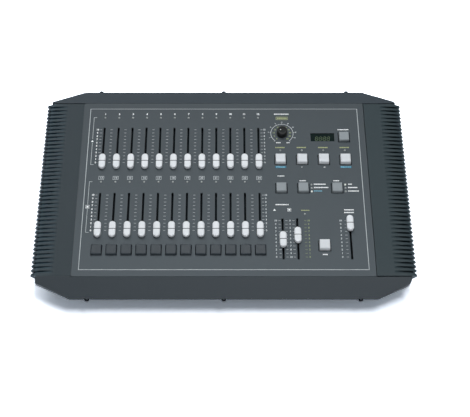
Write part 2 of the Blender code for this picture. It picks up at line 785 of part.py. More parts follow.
def make_right_cheek():
    """The ribbed end cheek: the grooves leave ribs whose tips stand out past the frame's side."""
    low = CHEEK_END_SEAM
    high = PANEL_DEPTH - CHEEK_END_SEAM
    body = along_v(extruded([cheek_profile()], -high, -low))
    cheek = on_panel(add_piece("right_cheek", body, FRAME_PLASTIC))
    comb = on_panel(add_helper("rib_grooves", groove_cutter()))
    comb.location.y = PANEL_DEPTH / 2 - RIB_PITCH * (RIB_COUNT - 2) / 2
    array = comb.modifiers.new("row of grooves", "ARRAY")
    array.count = RIB_COUNT - 1
    array.use_relative_offset = False
    array.use_constant_offset = True
    array.constant_offset_displace = (0.0, RIB_PITCH, 0.0)
    combine(cheek, comb, "DIFFERENCE")
    outer_rib = RIB_PITCH * (RIB_COUNT - 1) / 2 + RIB_THICK / 2
    nose = (CHEEK_TIP - CHEEK_NOSE_TOE, CHEEK_TIP + RIB_THICK)
    depth = (-2 * CHEEK_NOSE_BOTTOM, CHEEK_NOSE_BOTTOM)
    middle = PANEL_DEPTH / 2
    ends = merged(
        [
            block(nose, (low - RIB_PITCH, middle - outer_rib), depth),
            block(nose, (middle + outer_rib, high + RIB_PITCH), depth),
        ]
    )
    combine(cheek, on_panel(add_helper("rib_ends", ends)), "DIFFERENCE")
    return cheek


def make_left_cheek(right_cheek):
    mesh = evaluated_mesh(right_cheek)
    mesh.transform(Matrix.Diagonal((-1.0, 1.0, 1.0, 1.0)))
    mesh.flip_normals()
    return on_panel(add_piece("left_cheek", mesh, FRAME_PLASTIC))


def pan_outline(front, rear, inset):
    return rectangle(
        0.0, (front + rear) / 2, 2 * (PAN_HALF - inset), rear - front - 2 * inset
    )


def make_base_pan():
    """The folded sheet pan under the frame, its rim cut to the frame's slope, on four rubber feet."""
    front, _ = panel_to_world(FRONT_V + PAN_FRONT_SETBACK, -FRAME_THICK)
    rear, _ = panel_to_world(REAR_V - PAN_REAR_SETBACK, -FRAME_THICK)
    tall = 2 * PANEL_FRONT_HEIGHT + PANEL_DEPTH * math.sin(TILT)
    floor = FOOT_HEIGHT + PAN_SHEET
    outside = extruded([pan_outline(front, rear, 0.0)], FOOT_HEIGHT, tall)
    pan = add_piece("base_pan", outside, PAN_PAINT)
    inside = extruded([pan_outline(front, rear, PAN_SHEET)], floor, 2 * tall)
    combine(pan, add_helper("pan_inside", inside), "DIFFERENCE")
    above = block(
        (-2 * PAN_HALF, 2 * PAN_HALF),
        (-PANEL_DEPTH, 2 * PANEL_DEPTH),
        (-FRAME_THICK - SEAT_GAP, 3 * tall),
    )
    combine(pan, on_panel(add_helper("under_frame", above)), "DIFFERENCE")
    foot_profile = [
        (0.0, FOOT_HEIGHT + FUSE_DEPTH),
        (FOOT_RADIUS, FOOT_HEIGHT + FUSE_DEPTH),
        (FOOT_RADIUS, FOOT_TAPER),
        (FOOT_RADIUS - FOOT_TAPER, 0.0),
        (0.0, 0.0),
    ]
    feet = []
    for x in (-PAN_HALF + FOOT_INSET_X, PAN_HALF - FOOT_INSET_X):
        for y in (front + FOOT_INSET_Y, rear - FOOT_INSET_Y):
            feet.append(moved(turned(foot_profile, SMALL_STEPS), x, y))
    combine(pan, add_helper("feet", merged(feet)), "UNION")
    holes = []
    for x, radius in (
        (DATA_SOCKET_X, DATA_BARREL_RADIUS),
        (POWER_SOCKET_X, POWER_BARREL_RADIUS),
    ):
        hole = round_bar(
            radius + SOCKET_HOLE_GAP,
            radius + SOCKET_HOLE_GAP,
            -2 * PAN_SHEET,
            2 * PAN_SHEET,
            ROUND_STEPS,
        )
        hole.transform(Matrix.Rotation(math.radians(90), 4, "X"))
        holes.append(moved(hole, x, rear, SOCKET_HEIGHT))
    combine(pan, add_helper("socket_holes", merged(holes)), "DIFFERENCE")
    return rear


def facing_back(mesh, x, rear):
    """Stands a socket modelled on Z in the pan's rear wall, facing back."""
    mesh.transform(Matrix.Rotation(math.radians(-90), 4, "X"))
    return moved(mesh, x, rear + SEAT_GAP, SOCKET_HEIGHT)


def make_data_socket(rear):
    """A five-pole round chassis socket: flange, barrel, ring groove for the plug's shell, pin holes."""
    flange = rounded(
        rectangle(0.0, 0.0, DATA_FLANGE_WIDTH, DATA_FLANGE_HEIGHT), [DATA_FLANGE_CORNER] * 4
    )
    body = facing_back(extruded([flange], 0.0, SOCKET_FLANGE_THICK), DATA_SOCKET_X, rear)
    socket = add_piece("data_socket", body, SOCKET_METAL)
    barrel = round_bar(
        DATA_BARREL_RADIUS, DATA_BARREL_RADIUS, -DATA_BARREL_LENGTH, FUSE_DEPTH, ROUND_STEPS
    )
    combine(
        socket, add_helper("data_barrel", facing_back(barrel, DATA_SOCKET_X, rear)), "UNION"
    )
    ring = extruded(
        [
            circle(0.0, 0.0, DATA_SHELL_RADIUS, ROUND_STEPS),
            circle(0.0, 0.0, DATA_INSERT_RADIUS, ROUND_STEPS),
        ],
        SOCKET_FLANGE_THICK - DATA_SHELL_DEPTH,
        2 * SOCKET_FLANGE_THICK,
    )
    pins = []
    for pin in range(DATA_PIN_COUNT):
        angle = math.radians(90) + 2 * math.pi * (pin + 0.5) / (DATA_PIN_COUNT + 1)
        hole = circle(
            DATA_PIN_CIRCLE * math.cos(angle),
            DATA_PIN_CIRCLE * math.sin(angle),
            DATA_PIN_HOLE,
            HOLE_STEPS,
        )
        pins.append(hole)
    holes = extruded(pins, SOCKET_FLANGE_THICK - DATA_SHELL_DEPTH, 2 * SOCKET_FLANGE_THICK)
    cuts = facing_back(merged([ring, holes]), DATA_SOCKET_X, rear)
    combine(socket, add_helper("data_ring_and_pins", cuts), "DIFFERENCE")


def make_power_socket(rear):
    """A round low-voltage inlet with its nut outside the wall and a centre pin."""
    nut = extruded([circle(0.0, 0.0, POWER_NUT_RADIUS, 6)], 0.0, SOCKET_FLANGE_THICK)
    socket = add_piece("power_socket", facing_back(nut, POWER_SOCKET_X, rear), SOCKET_PLASTIC)
    barrel = round_bar(
        POWER_BARREL_RADIUS, POWER_BARREL_RADIUS, -POWER_BARREL_LENGTH, FUSE_DEPTH, ROUND_STEPS
    )
    combine(
        socket, add_helper("power_barrel", facing_back(barrel, POWER_SOCKET_X, rear)), "UNION"
    )
    ring = extruded(
        [
            circle(0.0, 0.0, POWER_HOLE_RADIUS, SMALL_STEPS),
            circle(0.0, 0.0, POWER_PIN_RADIUS, SMALL_STEPS),
        ],
        SOCKET_FLANGE_THICK - POWER_HOLE_DEPTH,
        2 * SOCKET_FLANGE_THICK,
    )
    combine(
        socket, add_helper("power_ring", facing_back(ring, POWER_SOCKET_X, rear)), "DIFFERENCE"
    )


def slide_pots(faders):
    """The bodies and the lever troughs of a row of slide pots."""
    bodies = []
    troughs = []
    for _, x, zero_v, _ in faders:
        middle = zero_v + FADER_TRAVEL / 2
        reach = SLOT_LENGTH / 2
        bodies.append(
            block(
                (x - POT_WIDTH / 2, x + POT_WIDTH / 2),
                (middle - reach - POT_END, middle + reach + POT_END),
                (BOARD_TOP_H - FUSE_DEPTH, POT_TOP_H),
            )
        )
        troughs.append(
            block(
                (x - SLOT_WIDTH / 2, x + SLOT_WIDTH / 2),
                (middle - reach, middle + reach),
                (POT_TOP_H - POT_TROUGH_DEPTH, 2 * PANEL_THICK),
            )
        )
    return bodies, troughs


def key_switches(keys):
    """The housings and the stem wells of a group of key switches."""
    bodies = []
    wells = []
    bottom = -(SWITCH_TOP_DEPTH + KEY_STEM_ENGAGED + KEY_STROKE + KEY_STEM_GAP)
    well = KEY_STEM / 2 + KEY_STEM_GAP
    for _, x, v in keys:
        bodies.append(
            block(
                (x - SWITCH_HOUSING / 2, x + SWITCH_HOUSING / 2),
                (v - SWITCH_HOUSING / 2, v + SWITCH_HOUSING / 2),
                (BOARD_TOP_H - FUSE_DEPTH, -SWITCH_TOP_DEPTH),
            )
        )
        wells.append(block((x - well, x + well), (v - well, v + well), (bottom, 2 * PANEL_THICK)))
    return bodies, wells


def lamps(places):
    """Round indicator lamps on the board, whose tops come up through the panel."""
    return [
        moved(
            round_bar(
                LAMP_RADIUS, LAMP_RADIUS, BOARD_TOP_H - FUSE_DEPTH, LAMP_PROUD, HOLE_STEPS
            ),
            x,
            v,
        )
        for x, v in places
    ]


def make_board(name, across, along, bodies, hollows):
    """A circuit board with the parts that are soldered to it."""
    plate = block(across, along, (BOARD_TOP_H - BOARD_THICK, BOARD_TOP_H))
    board = on_panel(add_piece(name, plate, BOARD_DARK))
    combine(board, on_panel(add_helper(f"{name}_parts", merged(bodies))), "UNION")
    combine(board, on_panel(add_helper(f"{name}_hollows", merged(hollows))), "DIFFERENCE")


def make_boards():
    rows_across = (COLUMNS[0] - BOARD_MARGIN, COLUMNS[-1] + BOARD_MARGIN)
    pot_reach = (SLOT_LENGTH - FADER_TRAVEL) / 2 + POT_END + BOARD_SPACE / 2

    bodies, troughs = slide_pots(SCENE_A_FADERS)
    along = (SCENE_A_V - pot_reach, LAMP_A_V + BOARD_MARGIN)
    make_board("scene_a_board", rows_across, along, bodies + lamps(SCENE_A_LAMPS), troughs)

    bodies, troughs = slide_pots(SCENE_B_FADERS)
    switches, wells = key_switches(BUMP_KEYS)
    along = (BUMP_V - SWITCH_HOUSING / 2 - BOARD_MARGIN, SCENE_A_V - pot_reach - BOARD_SPACE)
    make_board(
        "scene_b_board",
        rows_across,
        along,
        bodies + switches + lamps(SCENE_B_LAMPS),
        troughs + wells,
    )

    bodies, troughs = slide_pots(MASTER_FADERS)
    switches, wells = key_switches(MASTER_KEYS)
    rotary = block(
        (KNOB_X - ROTARY_BODY / 2, KNOB_X + ROTARY_BODY / 2),
        (KNOB_V - ROTARY_BODY / 2, KNOB_V + ROTARY_BODY / 2),
        (BOARD_TOP_H - FUSE_DEPTH, POT_TOP_H),
    )
    bore = SHAFT_RADIUS + SHAFT_RUNNING_GAP
    shaft_bottom = POT_TOP_H - SHAFT_REACH - SHAFT_RUNNING_GAP
    shaft_well = round_bar(bore, bore, shaft_bottom, 2 * PANEL_THICK, SMALL_STEPS)
    module_half_width = DISPLAY_WIDTH / 2 + DISPLAY_MODULE_MARGIN
    module_half_depth = DISPLAY_DEPTH / 2 + DISPLAY_MODULE_MARGIN
    module = block(
        (DISPLAY_X - module_half_width, DISPLAY_X + module_half_width),
        (BLACKOUT_V - module_half_depth, BLACKOUT_V + module_half_depth),
        (BOARD_TOP_H - FUSE_DEPTH, POT_TOP_H),
    )
    across = (
        MASTER_X[0] - SWITCH_HOUSING / 2 - BOARD_SPACE,
        MASTER_X[3] + SWITCH_HOUSING / 2 + BOARD_MARGIN,
    )
    along = (MASTER_V - pot_reach, KNOB_V + ROTARY_BODY / 2 + BOARD_MARGIN)
    make_board(
        "master_board",
        across,
        along,
        bodies + switches + lamps(MASTER_LAMPS) + [rotary, module],
        troughs + wells + [moved(shaft_well, KNOB_X, KNOB_V)],
    )


def make_display_window():
    """The smoked window over the digit display, set just below the panel's face."""
    top = -DISPLAY_RECESS
    mesh = block(
        (-DISPLAY_WIDTH / 2, DISPLAY_WIDTH / 2),
        (-DISPLAY_DEPTH / 2, DISPLAY_DEPTH / 2),
        (top - DISPLAY_THICK, top),
    )
    on_panel(add_piece("display_window", mesh, WINDOW_SMOKED), DISPLAY_X, BLACKOUT_V)


def bevel_edges(mesh, wanted, width, segments):
    """Rounds the edges whose middle point the test accepts."""
    bm = bmesh.new()
    bm.from_mesh(mesh)
    bmesh.ops.dissolve_limit(bm, angle_limit=math.radians(1), verts=bm.verts, edges=bm.edges)
    edges = [edge for edge in bm.edges if wanted((edge.verts[0].co + edge.verts[1].co) / 2)]
    bmesh.ops.bevel(
        bm, geom=edges, offset=width, segments=segments, profile=0.5, affect="EDGES"
    )
    bm.to_mesh(mesh)
    bm.free()
    return mesh


def joined(mesh, other):
    """The union of two bodies, as one mesh."""
    piece = add_helper("joined", mesh)
    tool = add_helper("joined tool", other)
    combine(piece, tool, "UNION")
    union = evaluated_mesh(piece)
    bpy.data.objects.remove(piece)
    bpy.data.objects.remove(tool)
    return union


def fader_cap_mesh():
    """A pill-shaped cap, dipped along its length, on the flat lever that runs in the slot."""
    top = CAP_LIFT + CAP_HEIGHT
    outline = stadium(0.0, 0.0, CAP_LENGTH, CAP_WIDTH, CAP_ARC_STEPS)
    cap = extruded([outline], CAP_LIFT, top)
    cap = bevel_edges(cap, lambda middle: middle.z > top - 1e-5, CAP_EDGE_ROUND, 2)
    for vertex in cap.vertices:
        share = max(0.0, (vertex.co.z - CAP_LIFT) / CAP_HEIGHT)
        vertex.co.z -= CAP_DIP * share * math.cos(math.pi * vertex.co.y / CAP_LENGTH)
    lever = block(
        (-LEVER_THICK / 2, LEVER_THICK / 2),
        (-LEVER_LENGTH / 2, LEVER_LENGTH / 2),
        (POT_TOP_H - LEVER_REACH, CAP_LIFT + FUSE_DEPTH),
    )
    return joined(cap, lever)


def key_mesh(width, depth, height, edge_round, round_steps):
    """A key cap with rounded, slightly drafted sides, on the stem that works its switch."""
    cap = block((-width / 2, width / 2), (-depth / 2, depth / 2), (-KEY_SKIRT, height))
    for vertex in cap.vertices:
        if vertex.co.z > 0:
            vertex.co.x -= math.copysign(KEY_DRAFT, vertex.co.x)
            vertex.co.y -= math.copysign(KEY_DRAFT, vertex.co.y)
    cap = bevel_edges(cap, lambda middle: middle.z > -KEY_SKIRT / 2, edge_round, round_steps)
    stem = block(
        (-KEY_STEM / 2, KEY_STEM / 2),
        (-KEY_STEM / 2, KEY_STEM / 2),
        (-SWITCH_TOP_DEPTH - KEY_STEM_ENGAGED, -KEY_SKIRT + FUSE_DEPTH),
    )
    return joined(cap, stem)


def make_fader_caps():
    mesh = fader_cap_mesh()
    for name, x, zero_v, rest in FADERS:
        piece = on_panel(add_piece(name, mesh, CAP_WHITE), x, zero_v + rest)
        smooth(piece)


def make_keys():
    bump = key_mesh(BUMP_KEY_WIDTH, BUMP_KEY_DEPTH, BUMP_KEY_HEIGHT, BUMP_KEY_ROUND, 1)
    size = MASTER_KEY_SIZE
    white = key_mesh(size, size, WHITE_KEY_HEIGHT, MASTER_KEY_ROUND, 2)
    grey = key_mesh(size, size, GREY_KEY_HEIGHT, MASTER_KEY_ROUND, 2)
    for keys, mesh, material in (
        (BUMP_KEYS, bump, KEY_BLACK),
        (WHITE_KEYS, white, CAP_WHITE),
        (GREY_KEYS, grey, KEY_GREY),
    ):
        for name, x, v in keys:
            on_panel(add_piece(name, mesh, material), x, v)


def make_knob():
    """A fluted knob turned about its own axis, on a shaft that enters the rotary control below."""
    top = KNOB_LIFT + KNOB_HEIGHT
    rim = KNOB_LIFT + KNOB_RIM
    shoulder = KNOB_TOP_ROUND * (1 - math.cos(math.radians(45)))
    profile = [
        (0.0, top),
        (KNOB_TOP_RADIUS - KNOB_TOP_ROUND, top),
        (KNOB_TOP_RADIUS - shoulder, top - shoulder),
        (KNOB_TOP_RADIUS, top - KNOB_TOP_ROUND),
        (KNOB_TOP_RADIUS + (KNOB_RADIUS - KNOB_TOP_RADIUS) / 2, rim),
        (KNOB_RADIUS, rim),
        (KNOB_RADIUS, KNOB_LIFT),
        (SHAFT_RADIUS, KNOB_LIFT),
        (SHAFT_RADIUS, POT_TOP_H - SHAFT_REACH),
        (0.0, POT_TOP_H - SHAFT_REACH),
    ]
    mesh = bpy.data.meshes.new("fade_time_knob")
    bm = bmesh.new()
    add_profile(bm, profile)
    bm.to_mesh(mesh)
    bm.free()
    knob = on_panel(add_piece("fade_time_knob", mesh, KNOB_BLACK), KNOB_X, KNOB_V)
    turn_profile(knob, 2 * KNOB_FLUTES)
    flutes = []
    for flute in range(KNOB_FLUTES):
        angle = 2 * math.pi * flute / KNOB_FLUTES
        groove = round_bar(
            KNOB_FLUTE_RADIUS, KNOB_FLUTE_RADIUS, rim + KNOB_RIM, 2 * top, HOLE_STEPS
        )
        middle = (KNOB_RADIUS + KNOB_TOP_RADIUS) / 2 + KNOB_FLUTE_RADIUS / 3
        flutes.append(moved(groove, middle * math.cos(angle), middle * math.sin(angle)))
    grooves = on_panel(add_helper("knob_flutes", merged(flutes)), KNOB_X, KNOB_V)
    combine(knob, grooves, "DIFFERENCE")


clear_scene()
CONSOLE = new_collection("lighting_console")
CUTTERS = new_collection("cutters")
DATUM = make_datum()

FRAME_PLASTIC = new_material("frame_plastic", (0.055, 0.069, 0.080), 0.55)
PANEL_PAINT = new_material("panel_paint", (0.089, 0.110, 0.125), 0.60)
PAN_PAINT = new_material("pan_paint", (0.040, 0.048, 0.055), 0.50)
CAP_WHITE = new_material("cap_white", (0.760, 0.800, 0.840), 0.40)
KEY_BLACK = new_material("key_black", (0.045, 0.052, 0.057), 0.45)
KEY_GREY = new_material("key_grey", (0.270, 0.309, 0.356), 0.45)
KNOB_BLACK = new_material("knob_black", (0.012, 0.013, 0.014), 0.40)
WINDOW_SMOKED = new_material("window_smoked", (0.018, 0.030, 0.028), 0.15)
BOARD_DARK = new_material("board_dark", (0.012, 0.020, 0.016), 0.50)
SOCKET_METAL = new_material("socket_metal", (0.420, 0.430, 0.440), 0.35, 1.0)
SOCKET_PLASTIC = new_material("socket_plastic", (0.010, 0.010, 0.010), 0.45)

make_control_panel()
make_top_cover()
make_left_cheek(make_right_cheek())
rear_wall_y = make_base_pan()
make_data_socket(rear_wall_y)
make_power_socket(rear_wall_y)
make_boards()
make_display_window()
make_fader_caps()
make_keys()
make_knob()
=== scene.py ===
import math

import bmesh
import bpy
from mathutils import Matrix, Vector


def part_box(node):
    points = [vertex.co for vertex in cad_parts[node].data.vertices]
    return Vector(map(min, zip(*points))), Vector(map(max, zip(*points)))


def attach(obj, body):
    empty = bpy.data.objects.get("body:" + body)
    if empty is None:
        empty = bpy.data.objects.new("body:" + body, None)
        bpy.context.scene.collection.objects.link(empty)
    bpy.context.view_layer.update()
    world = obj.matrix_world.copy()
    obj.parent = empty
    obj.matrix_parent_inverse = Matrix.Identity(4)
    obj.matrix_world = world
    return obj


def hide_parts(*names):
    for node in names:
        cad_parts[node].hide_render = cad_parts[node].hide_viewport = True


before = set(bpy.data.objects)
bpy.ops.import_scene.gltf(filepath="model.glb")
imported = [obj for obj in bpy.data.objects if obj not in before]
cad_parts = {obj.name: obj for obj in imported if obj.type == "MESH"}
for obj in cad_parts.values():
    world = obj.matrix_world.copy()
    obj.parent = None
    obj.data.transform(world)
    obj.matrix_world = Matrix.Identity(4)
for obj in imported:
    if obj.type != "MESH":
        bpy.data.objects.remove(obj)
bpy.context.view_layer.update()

# Sizes in metres. The panel's own directions are X across, V up its slope from its front edge,
# and H square to it, with H = 0 on the printed face.
TILT = math.radians(8.0)
PANEL_THICK = 0.0020
PANEL_DEPTH = 0.2665

# Columns across the panel and rows up it
FADER_PITCH = 0.01905
COLUMNS = [-0.162625 + FADER_PITCH * column for column in range(12)]
MASTER_X = [0.076025 + 0.0290 * column for column in range(4)]
PRESET_B_X = MASTER_X[0] + FADER_PITCH
KNOB_X = 0.079125
DISPLAY_X = 0.134025
FLASH_X = 0.149625
GO_X = 0.128925
BUMP_V = 0.0373
SCENE_B_V = 0.0659
LAMP_B_V = 0.1391
SCENE_A_V = 0.1696
LAMP_A_V = 0.2422
MASTER_V = 0.0273
EFFECT_V = 0.1740
MODE_V = 0.1296
BLACKOUT_V = 0.2103
KNOB_V = 0.2164
GO_V = 0.0437
FADER_TRAVEL = 0.0530
SLOT_LENGTH = 0.0590
SLOT_WIDTH = 0.0022
PRESET_A_REST = 0.45
PRESET_B_REST = 0.57
GRAND_MASTER_REST = 0.90

# The front case screws, and the spot of painted shade round each
SCREW_X = 0.17158
SCREW_V = -0.0289
SCREW_H = -0.0125
SCREW_SHADE_SPOT = 0.0052

# Fader caps
CAP_LENGTH = 0.0220
CAP_WIDTH = 0.0090
CAP_HEIGHT = 0.0052
CAP_LIFT = 0.0012
CAP_EDGE_ROUND = 0.0018
CAP_FOOT_ROUND = 0.0003
CAP_DIP = 0.0009
CAP_LINE = 0.0011
CAP_LINE_FOOT = 0.45
CAP_CUTS = (0.0072, 0.0048, 0.0024, CAP_LINE / 2)
LEVER_LENGTH = 0.0050
LEVER_THICK = 0.0012
LEVER_FOOT = 0.0051
LEVER_IN_CAP = 0.0004

# Key caps: width, depth and height; then how round the side and rear edges and the front edge are
BUMP_KEY = (0.0138, 0.0145, 0.0038)
WHITE_KEY = (0.0140, 0.0140, 0.0056)
GREY_KEY = (0.0140, 0.0140, 0.0043)
BUMP_KEY_ROUND = (0.0008, 0.0010)
WHITE_KEY_ROUND = (0.0009, 0.0022)
GREY_KEY_ROUND = (0.0009, 0.0014)
KEY_SKIRT = 0.0016
KEY_DRAFT = 0.0004
KEY_DISH = 0.0002
KEY_DISH_SHARE = 0.12
KEY_OPENING = 0.0008

# Fade-time knob
KNOB_RADIUS = 0.0076
KNOB_TOP_RADIUS = 0.0068
KNOB_HEIGHT = 0.0083
KNOB_LIFT = 0.0008
KNOB_RIM = 0.0008
KNOB_EDGE_ROUND = 0.0011
KNOB_LIP = 0.0007
KNOB_DISH = 0.0003
KNOB_DISH_EDGE = 0.0002
KNOB_FLUTES = 14
KNOB_FLUTE_SHARE = 0.94
KNOB_SIDE_SLACK = 0.0006
KNOB_DOT_ANGLE = math.radians(165)
KNOB_DOT_REACH = 0.0024
KNOB_DOT_RADIUS = 0.0008
KNOB_DOT_SINK = 0.00008

# Digits in the display window
DISPLAY_RECESS = 0.0010
DIGIT_COUNT = 4
DIGIT_DROP = 0.0019
DIGIT_HEIGHT = 0.0062
DIGIT_WIDTH = 0.0034
DIGIT_PITCH = 0.0053
DIGIT_STROKE = 0.0007
DIGIT_SLANT = 0.12

# Indicator lamps
LAMP_RADIUS = 0.00135
LAMP_DOME = 0.0010
LAMP_FOOT = 0.0016
LAMP_COLLAR = 0.0002
LAMP_STEPS = ((0.45, 0.93), (0.30, 0.78), (0.17, 0.60), (0.08, 0.5))
EFFECT_LAMP_RISE = 0.0149
MODE_LAMP_ASIDE = 0.0109
MODE_LAMP_PITCH = 0.0052
PRESET_LAMP_ASIDE = 0.0104
PRESET_LAMP_RISE = 0.0098

# Print on the panel
INK = 0.00003
KEYLINE_X = 0.1835
KEYLINE_LOW = 0.0094
KEYLINE_HIGH = 0.2571
KEYLINE_WIDTH = 0.0008
REAR_KEYLINE_WIDTH = 0.0005
BRACKET_X = -0.1780
BRACKET_GAP = 0.0030
BRACKET_REACH = 0.0042
BRACKET_LINE = 0.0006
TRIANGLE_RADIUS = 0.0020
TRIANGLE_DROP = 0.0003
SQUARE = 0.0024
SQUARE_BOX = 0.0044
SQUARE_LINE = 0.0004
TICK_LENGTH = 0.0029
TICK_WIDTH = 0.00045
LEFT_TICKS_X = -0.1674
RIGHT_TICKS_X = 0.0514
MASTER_TICKS_X = (0.0722, 0.0810, 0.0903, 0.1577)
FADE_TICKS_X = 0.1055
SCALE_STEPS = range(11)
SCALE_NUMBER = 0.0025
LEFT_NUMBERS_X = -0.1719
RIGHT_NUMBERS_X = 0.0551
RISING_NUMBERS_X = (0.0671, 0.1511)
FALLING_NUMBERS_X = 0.0857
FADE_NUMBERS_X = 0.1098
NUMBER_WEIGHT = 0.05
CHANNEL_NUMBER = 0.0028
CHANNEL_V = 0.2484
BOXED_CHANNEL_V = 0.1454
BOXED_NUMBER = CHANNEL_NUMBER * 1.1
BOX_WIDTH = 0.0068
BOX_DEPTH = 0.0050
THIN_LINE = 0.0005
WORD_HEIGHT = 0.0016
WORD_BLOCKS = (0.0013, 0.0009, 0.0015, 0.0011)
WORD_GAP = 0.0004
CAPITAL_SHARE = 0.72

# Rings, numbers and words round the knob
DIAL_RADIUS = 0.0152
DIAL_LINE = 0.0006
DIAL_ENDS = (-52, 232)
DIAL_TICK = (0.0014, 0.0005)
DIAL_TICK_OUT = 0.0010
DIAL_FIRST = 230
DIAL_STEP = 28
DIAL_LABELS = ("0", "1", "2", "3", "5", "10", "20", "30", "45", "60", "90")
DIAL_NUMBER = 0.0016
DIAL_NUMBER_OUT = 0.0034
INNER_RADIUS = 0.0113
INNER_NUMBER = 0.0023
DIAL_WORD_DROP = 0.0150
DIAL_WORD_HEIGHT = 0.0014

# Painted shade: dark lines round the slots and beside the taller keys
SLOT_SHADE_WIDTH = 0.0003
KEY_SHADE_WIDTH = 0.0007

# Painted light: a frame-coloured strip fills the left cheek's seams for their lit inner walls:
# middle and width beside the panel, and in front of it
STRIP_BESIDE = (-0.19262, 0.0007)
STRIP_FRONT = (-0.2144, 0.0423)
STRIP_FRONT_V = 0.0002
STRIP_FRONT_DEPTH = 0.0011
STRIP_THICK = 0.0010
STRIP_H = -0.0008

# The data socket and its contacts
SOCKET_FACE = (0.120025, 0.135612, 0.040)
SOCKET_PIN_CIRCLE = 0.0050
CONTACT_RADIUS = 0.00095
CONTACT_LENGTH = 0.0080
CONTACT_WALL = 0.0003
CONTACT_BORE = 0.0050
CONTACT_SINK = 0.0052

# The white ground: as it lights, as it is seen, and how far out it turns to plain white
GROUND_LIT = (0.80, 0.80, 0.80, 1.0)
GROUND_SEEN = (2.70, 2.85, 3.10, 1.0)
GROUND_FADE = (0.9, 2.0)

# Where the lights point
AIM = (0.0, 0.0, 0.05)

# How far apart two places may lie and still count as the same
SAME = 1e-6

front_edge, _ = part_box("control_panel")
PANEL_Y = front_edge.y
PANEL_Z = front_edge.z + PANEL_THICK * math.cos(TILT)


# Working in object and edit mode

def pick(piece):
    """Leaves this piece alone selected, in object mode."""
    if bpy.context.object and bpy.context.object.mode != "OBJECT":
        bpy.ops.object.mode_set(mode="OBJECT")
    bpy.ops.object.select_all(action="DESELECT")
    if piece:
        piece.select_set(True)
        bpy.context.view_layer.objects.active = piece


def start_shaping(piece):
    pick(piece)
    bpy.ops.object.mode_set(mode="EDIT")


def stop_shaping():
    bpy.ops.object.mode_set(mode="OBJECT")


def choose(piece, kind, wanted):
    """In edit mode, selects only the faces, edges or vertices that the test accepts."""
    bpy.context.tool_settings.mesh_select_mode = (kind == "verts", kind == "edges", kind == "faces")
    shape = bmesh.from_edit_mesh(piece.data)
    for group in (shape.faces, shape.edges, shape.verts):
        for part in group:
            part.select_set(False)
    for part in getattr(shape, kind):
        if wanted(part):
            part.select_set(True)
    shape.select_flush_mode()
    bmesh.update_edit_mesh(piece.data)


def upright(edge):
    a, b = (vert.co for vert in edge.verts)
    return abs(a.x - b.x) < SAME and abs(a.y - b.y) < SAME


def above(height):
    """Accepts an edge that lies wholly above a height."""
    return lambda edge: min(vert.co.z for vert in edge.verts) > height - SAME


def below(height):
    """Accepts an edge that lies wholly below a height."""
    return lambda edge: max(vert.co.z for vert in edge.verts) < height + SAME


def add_block(name, size, middle):
    pick(None)
    bpy.ops.mesh.primitive_cube_add(size=1.0, location=middle, scale=size)
    piece = bpy.context.object
    piece.name = name
    bpy.ops.object.transform_apply(location=True, rotation=True, scale=True)
    return piece


def join_pieces(pieces):
    pick(pieces[0])
    for piece in pieces[1:]:
        piece.select_set(True)
    if len(pieces) > 1:
        bpy.ops.object.join()
    return pieces[0]


def copy_of(piece, name):
    copy = piece.copy()
    copy.data = piece.data.copy()
    copy.name = name
    bpy.context.scene.collection.objects.link(copy)
    return copy


def on_panel(x, v, h):
    """The place in space of a point given in the panel's own directions."""
    return (
        x,
        PANEL_Y + v * math.cos(TILT) - h * math.sin(TILT),
        PANEL_Z + v * math.sin(TILT) + h * math.cos(TILT),
    )


def seat_on_panel(piece, x=0.0, v=0.0, h=0.0):
    """Moves a piece modelled flat at the origin to its place on the sloping panel."""
    pick(piece)
    piece.rotation_euler = (TILT, 0.0, 0.0)
    piece.location = on_panel(x, v, h)
    bpy.ops.object.transform_apply(location=True, rotation=True, scale=True)


def finish_piece(piece, material, body, angle=30):
    pick(piece)
    bpy.ops.object.shade_smooth_by_angle(angle=math.radians(angle))
    if not piece.data.materials:
        piece.data.materials.append(material)
    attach(piece, body)
    return piece


# Finishes

def add_node(tree, kind, **settings):
    node = tree.nodes.new(kind)
    for name, value in settings.items():
        if name in node.inputs:
            node.inputs[name].default_value = value
        else:
            setattr(node, name, value)
    return node


def mixed(tree, share, first, second, blend="MIX"):
    """Mixes two colours, each a plain colour or another node's output."""
    mix = add_node(tree, "ShaderNodeMix", data_type="RGBA", blend_type=blend)
    for place, value in ((0, share), (6, first), (7, second)):
        if isinstance(value, bpy.types.NodeSocket):
            tree.links.new(value, mix.inputs[place])
        else:
            mix.inputs[place].default_value = value if place == 0 else (*value, 1.0)
    return mix.outputs[2]


# What all grained finishes share: the size of the patches, how uneven the gloss is, the part of
# the noise that makes rubbed streaks, how much those show, how they are stretched, what they
# add to the roughness, how much lighter they are, and how strong the grain's relief is
PATCHES = 0.03
GLOSS_SPREAD = 0.06
STREAK_RANGE = (0.62, 0.80)
STREAK_SHARE = 0.35
STREAK_STRETCH = (6.0, 90.0, 90.0)
STREAK_GLOSS = -0.2
STREAK_LIGHTER = 1.18
RELIEF = 0.6

# The gloss left on a spot of painted shade
SPOT_GLOSS = 0.03


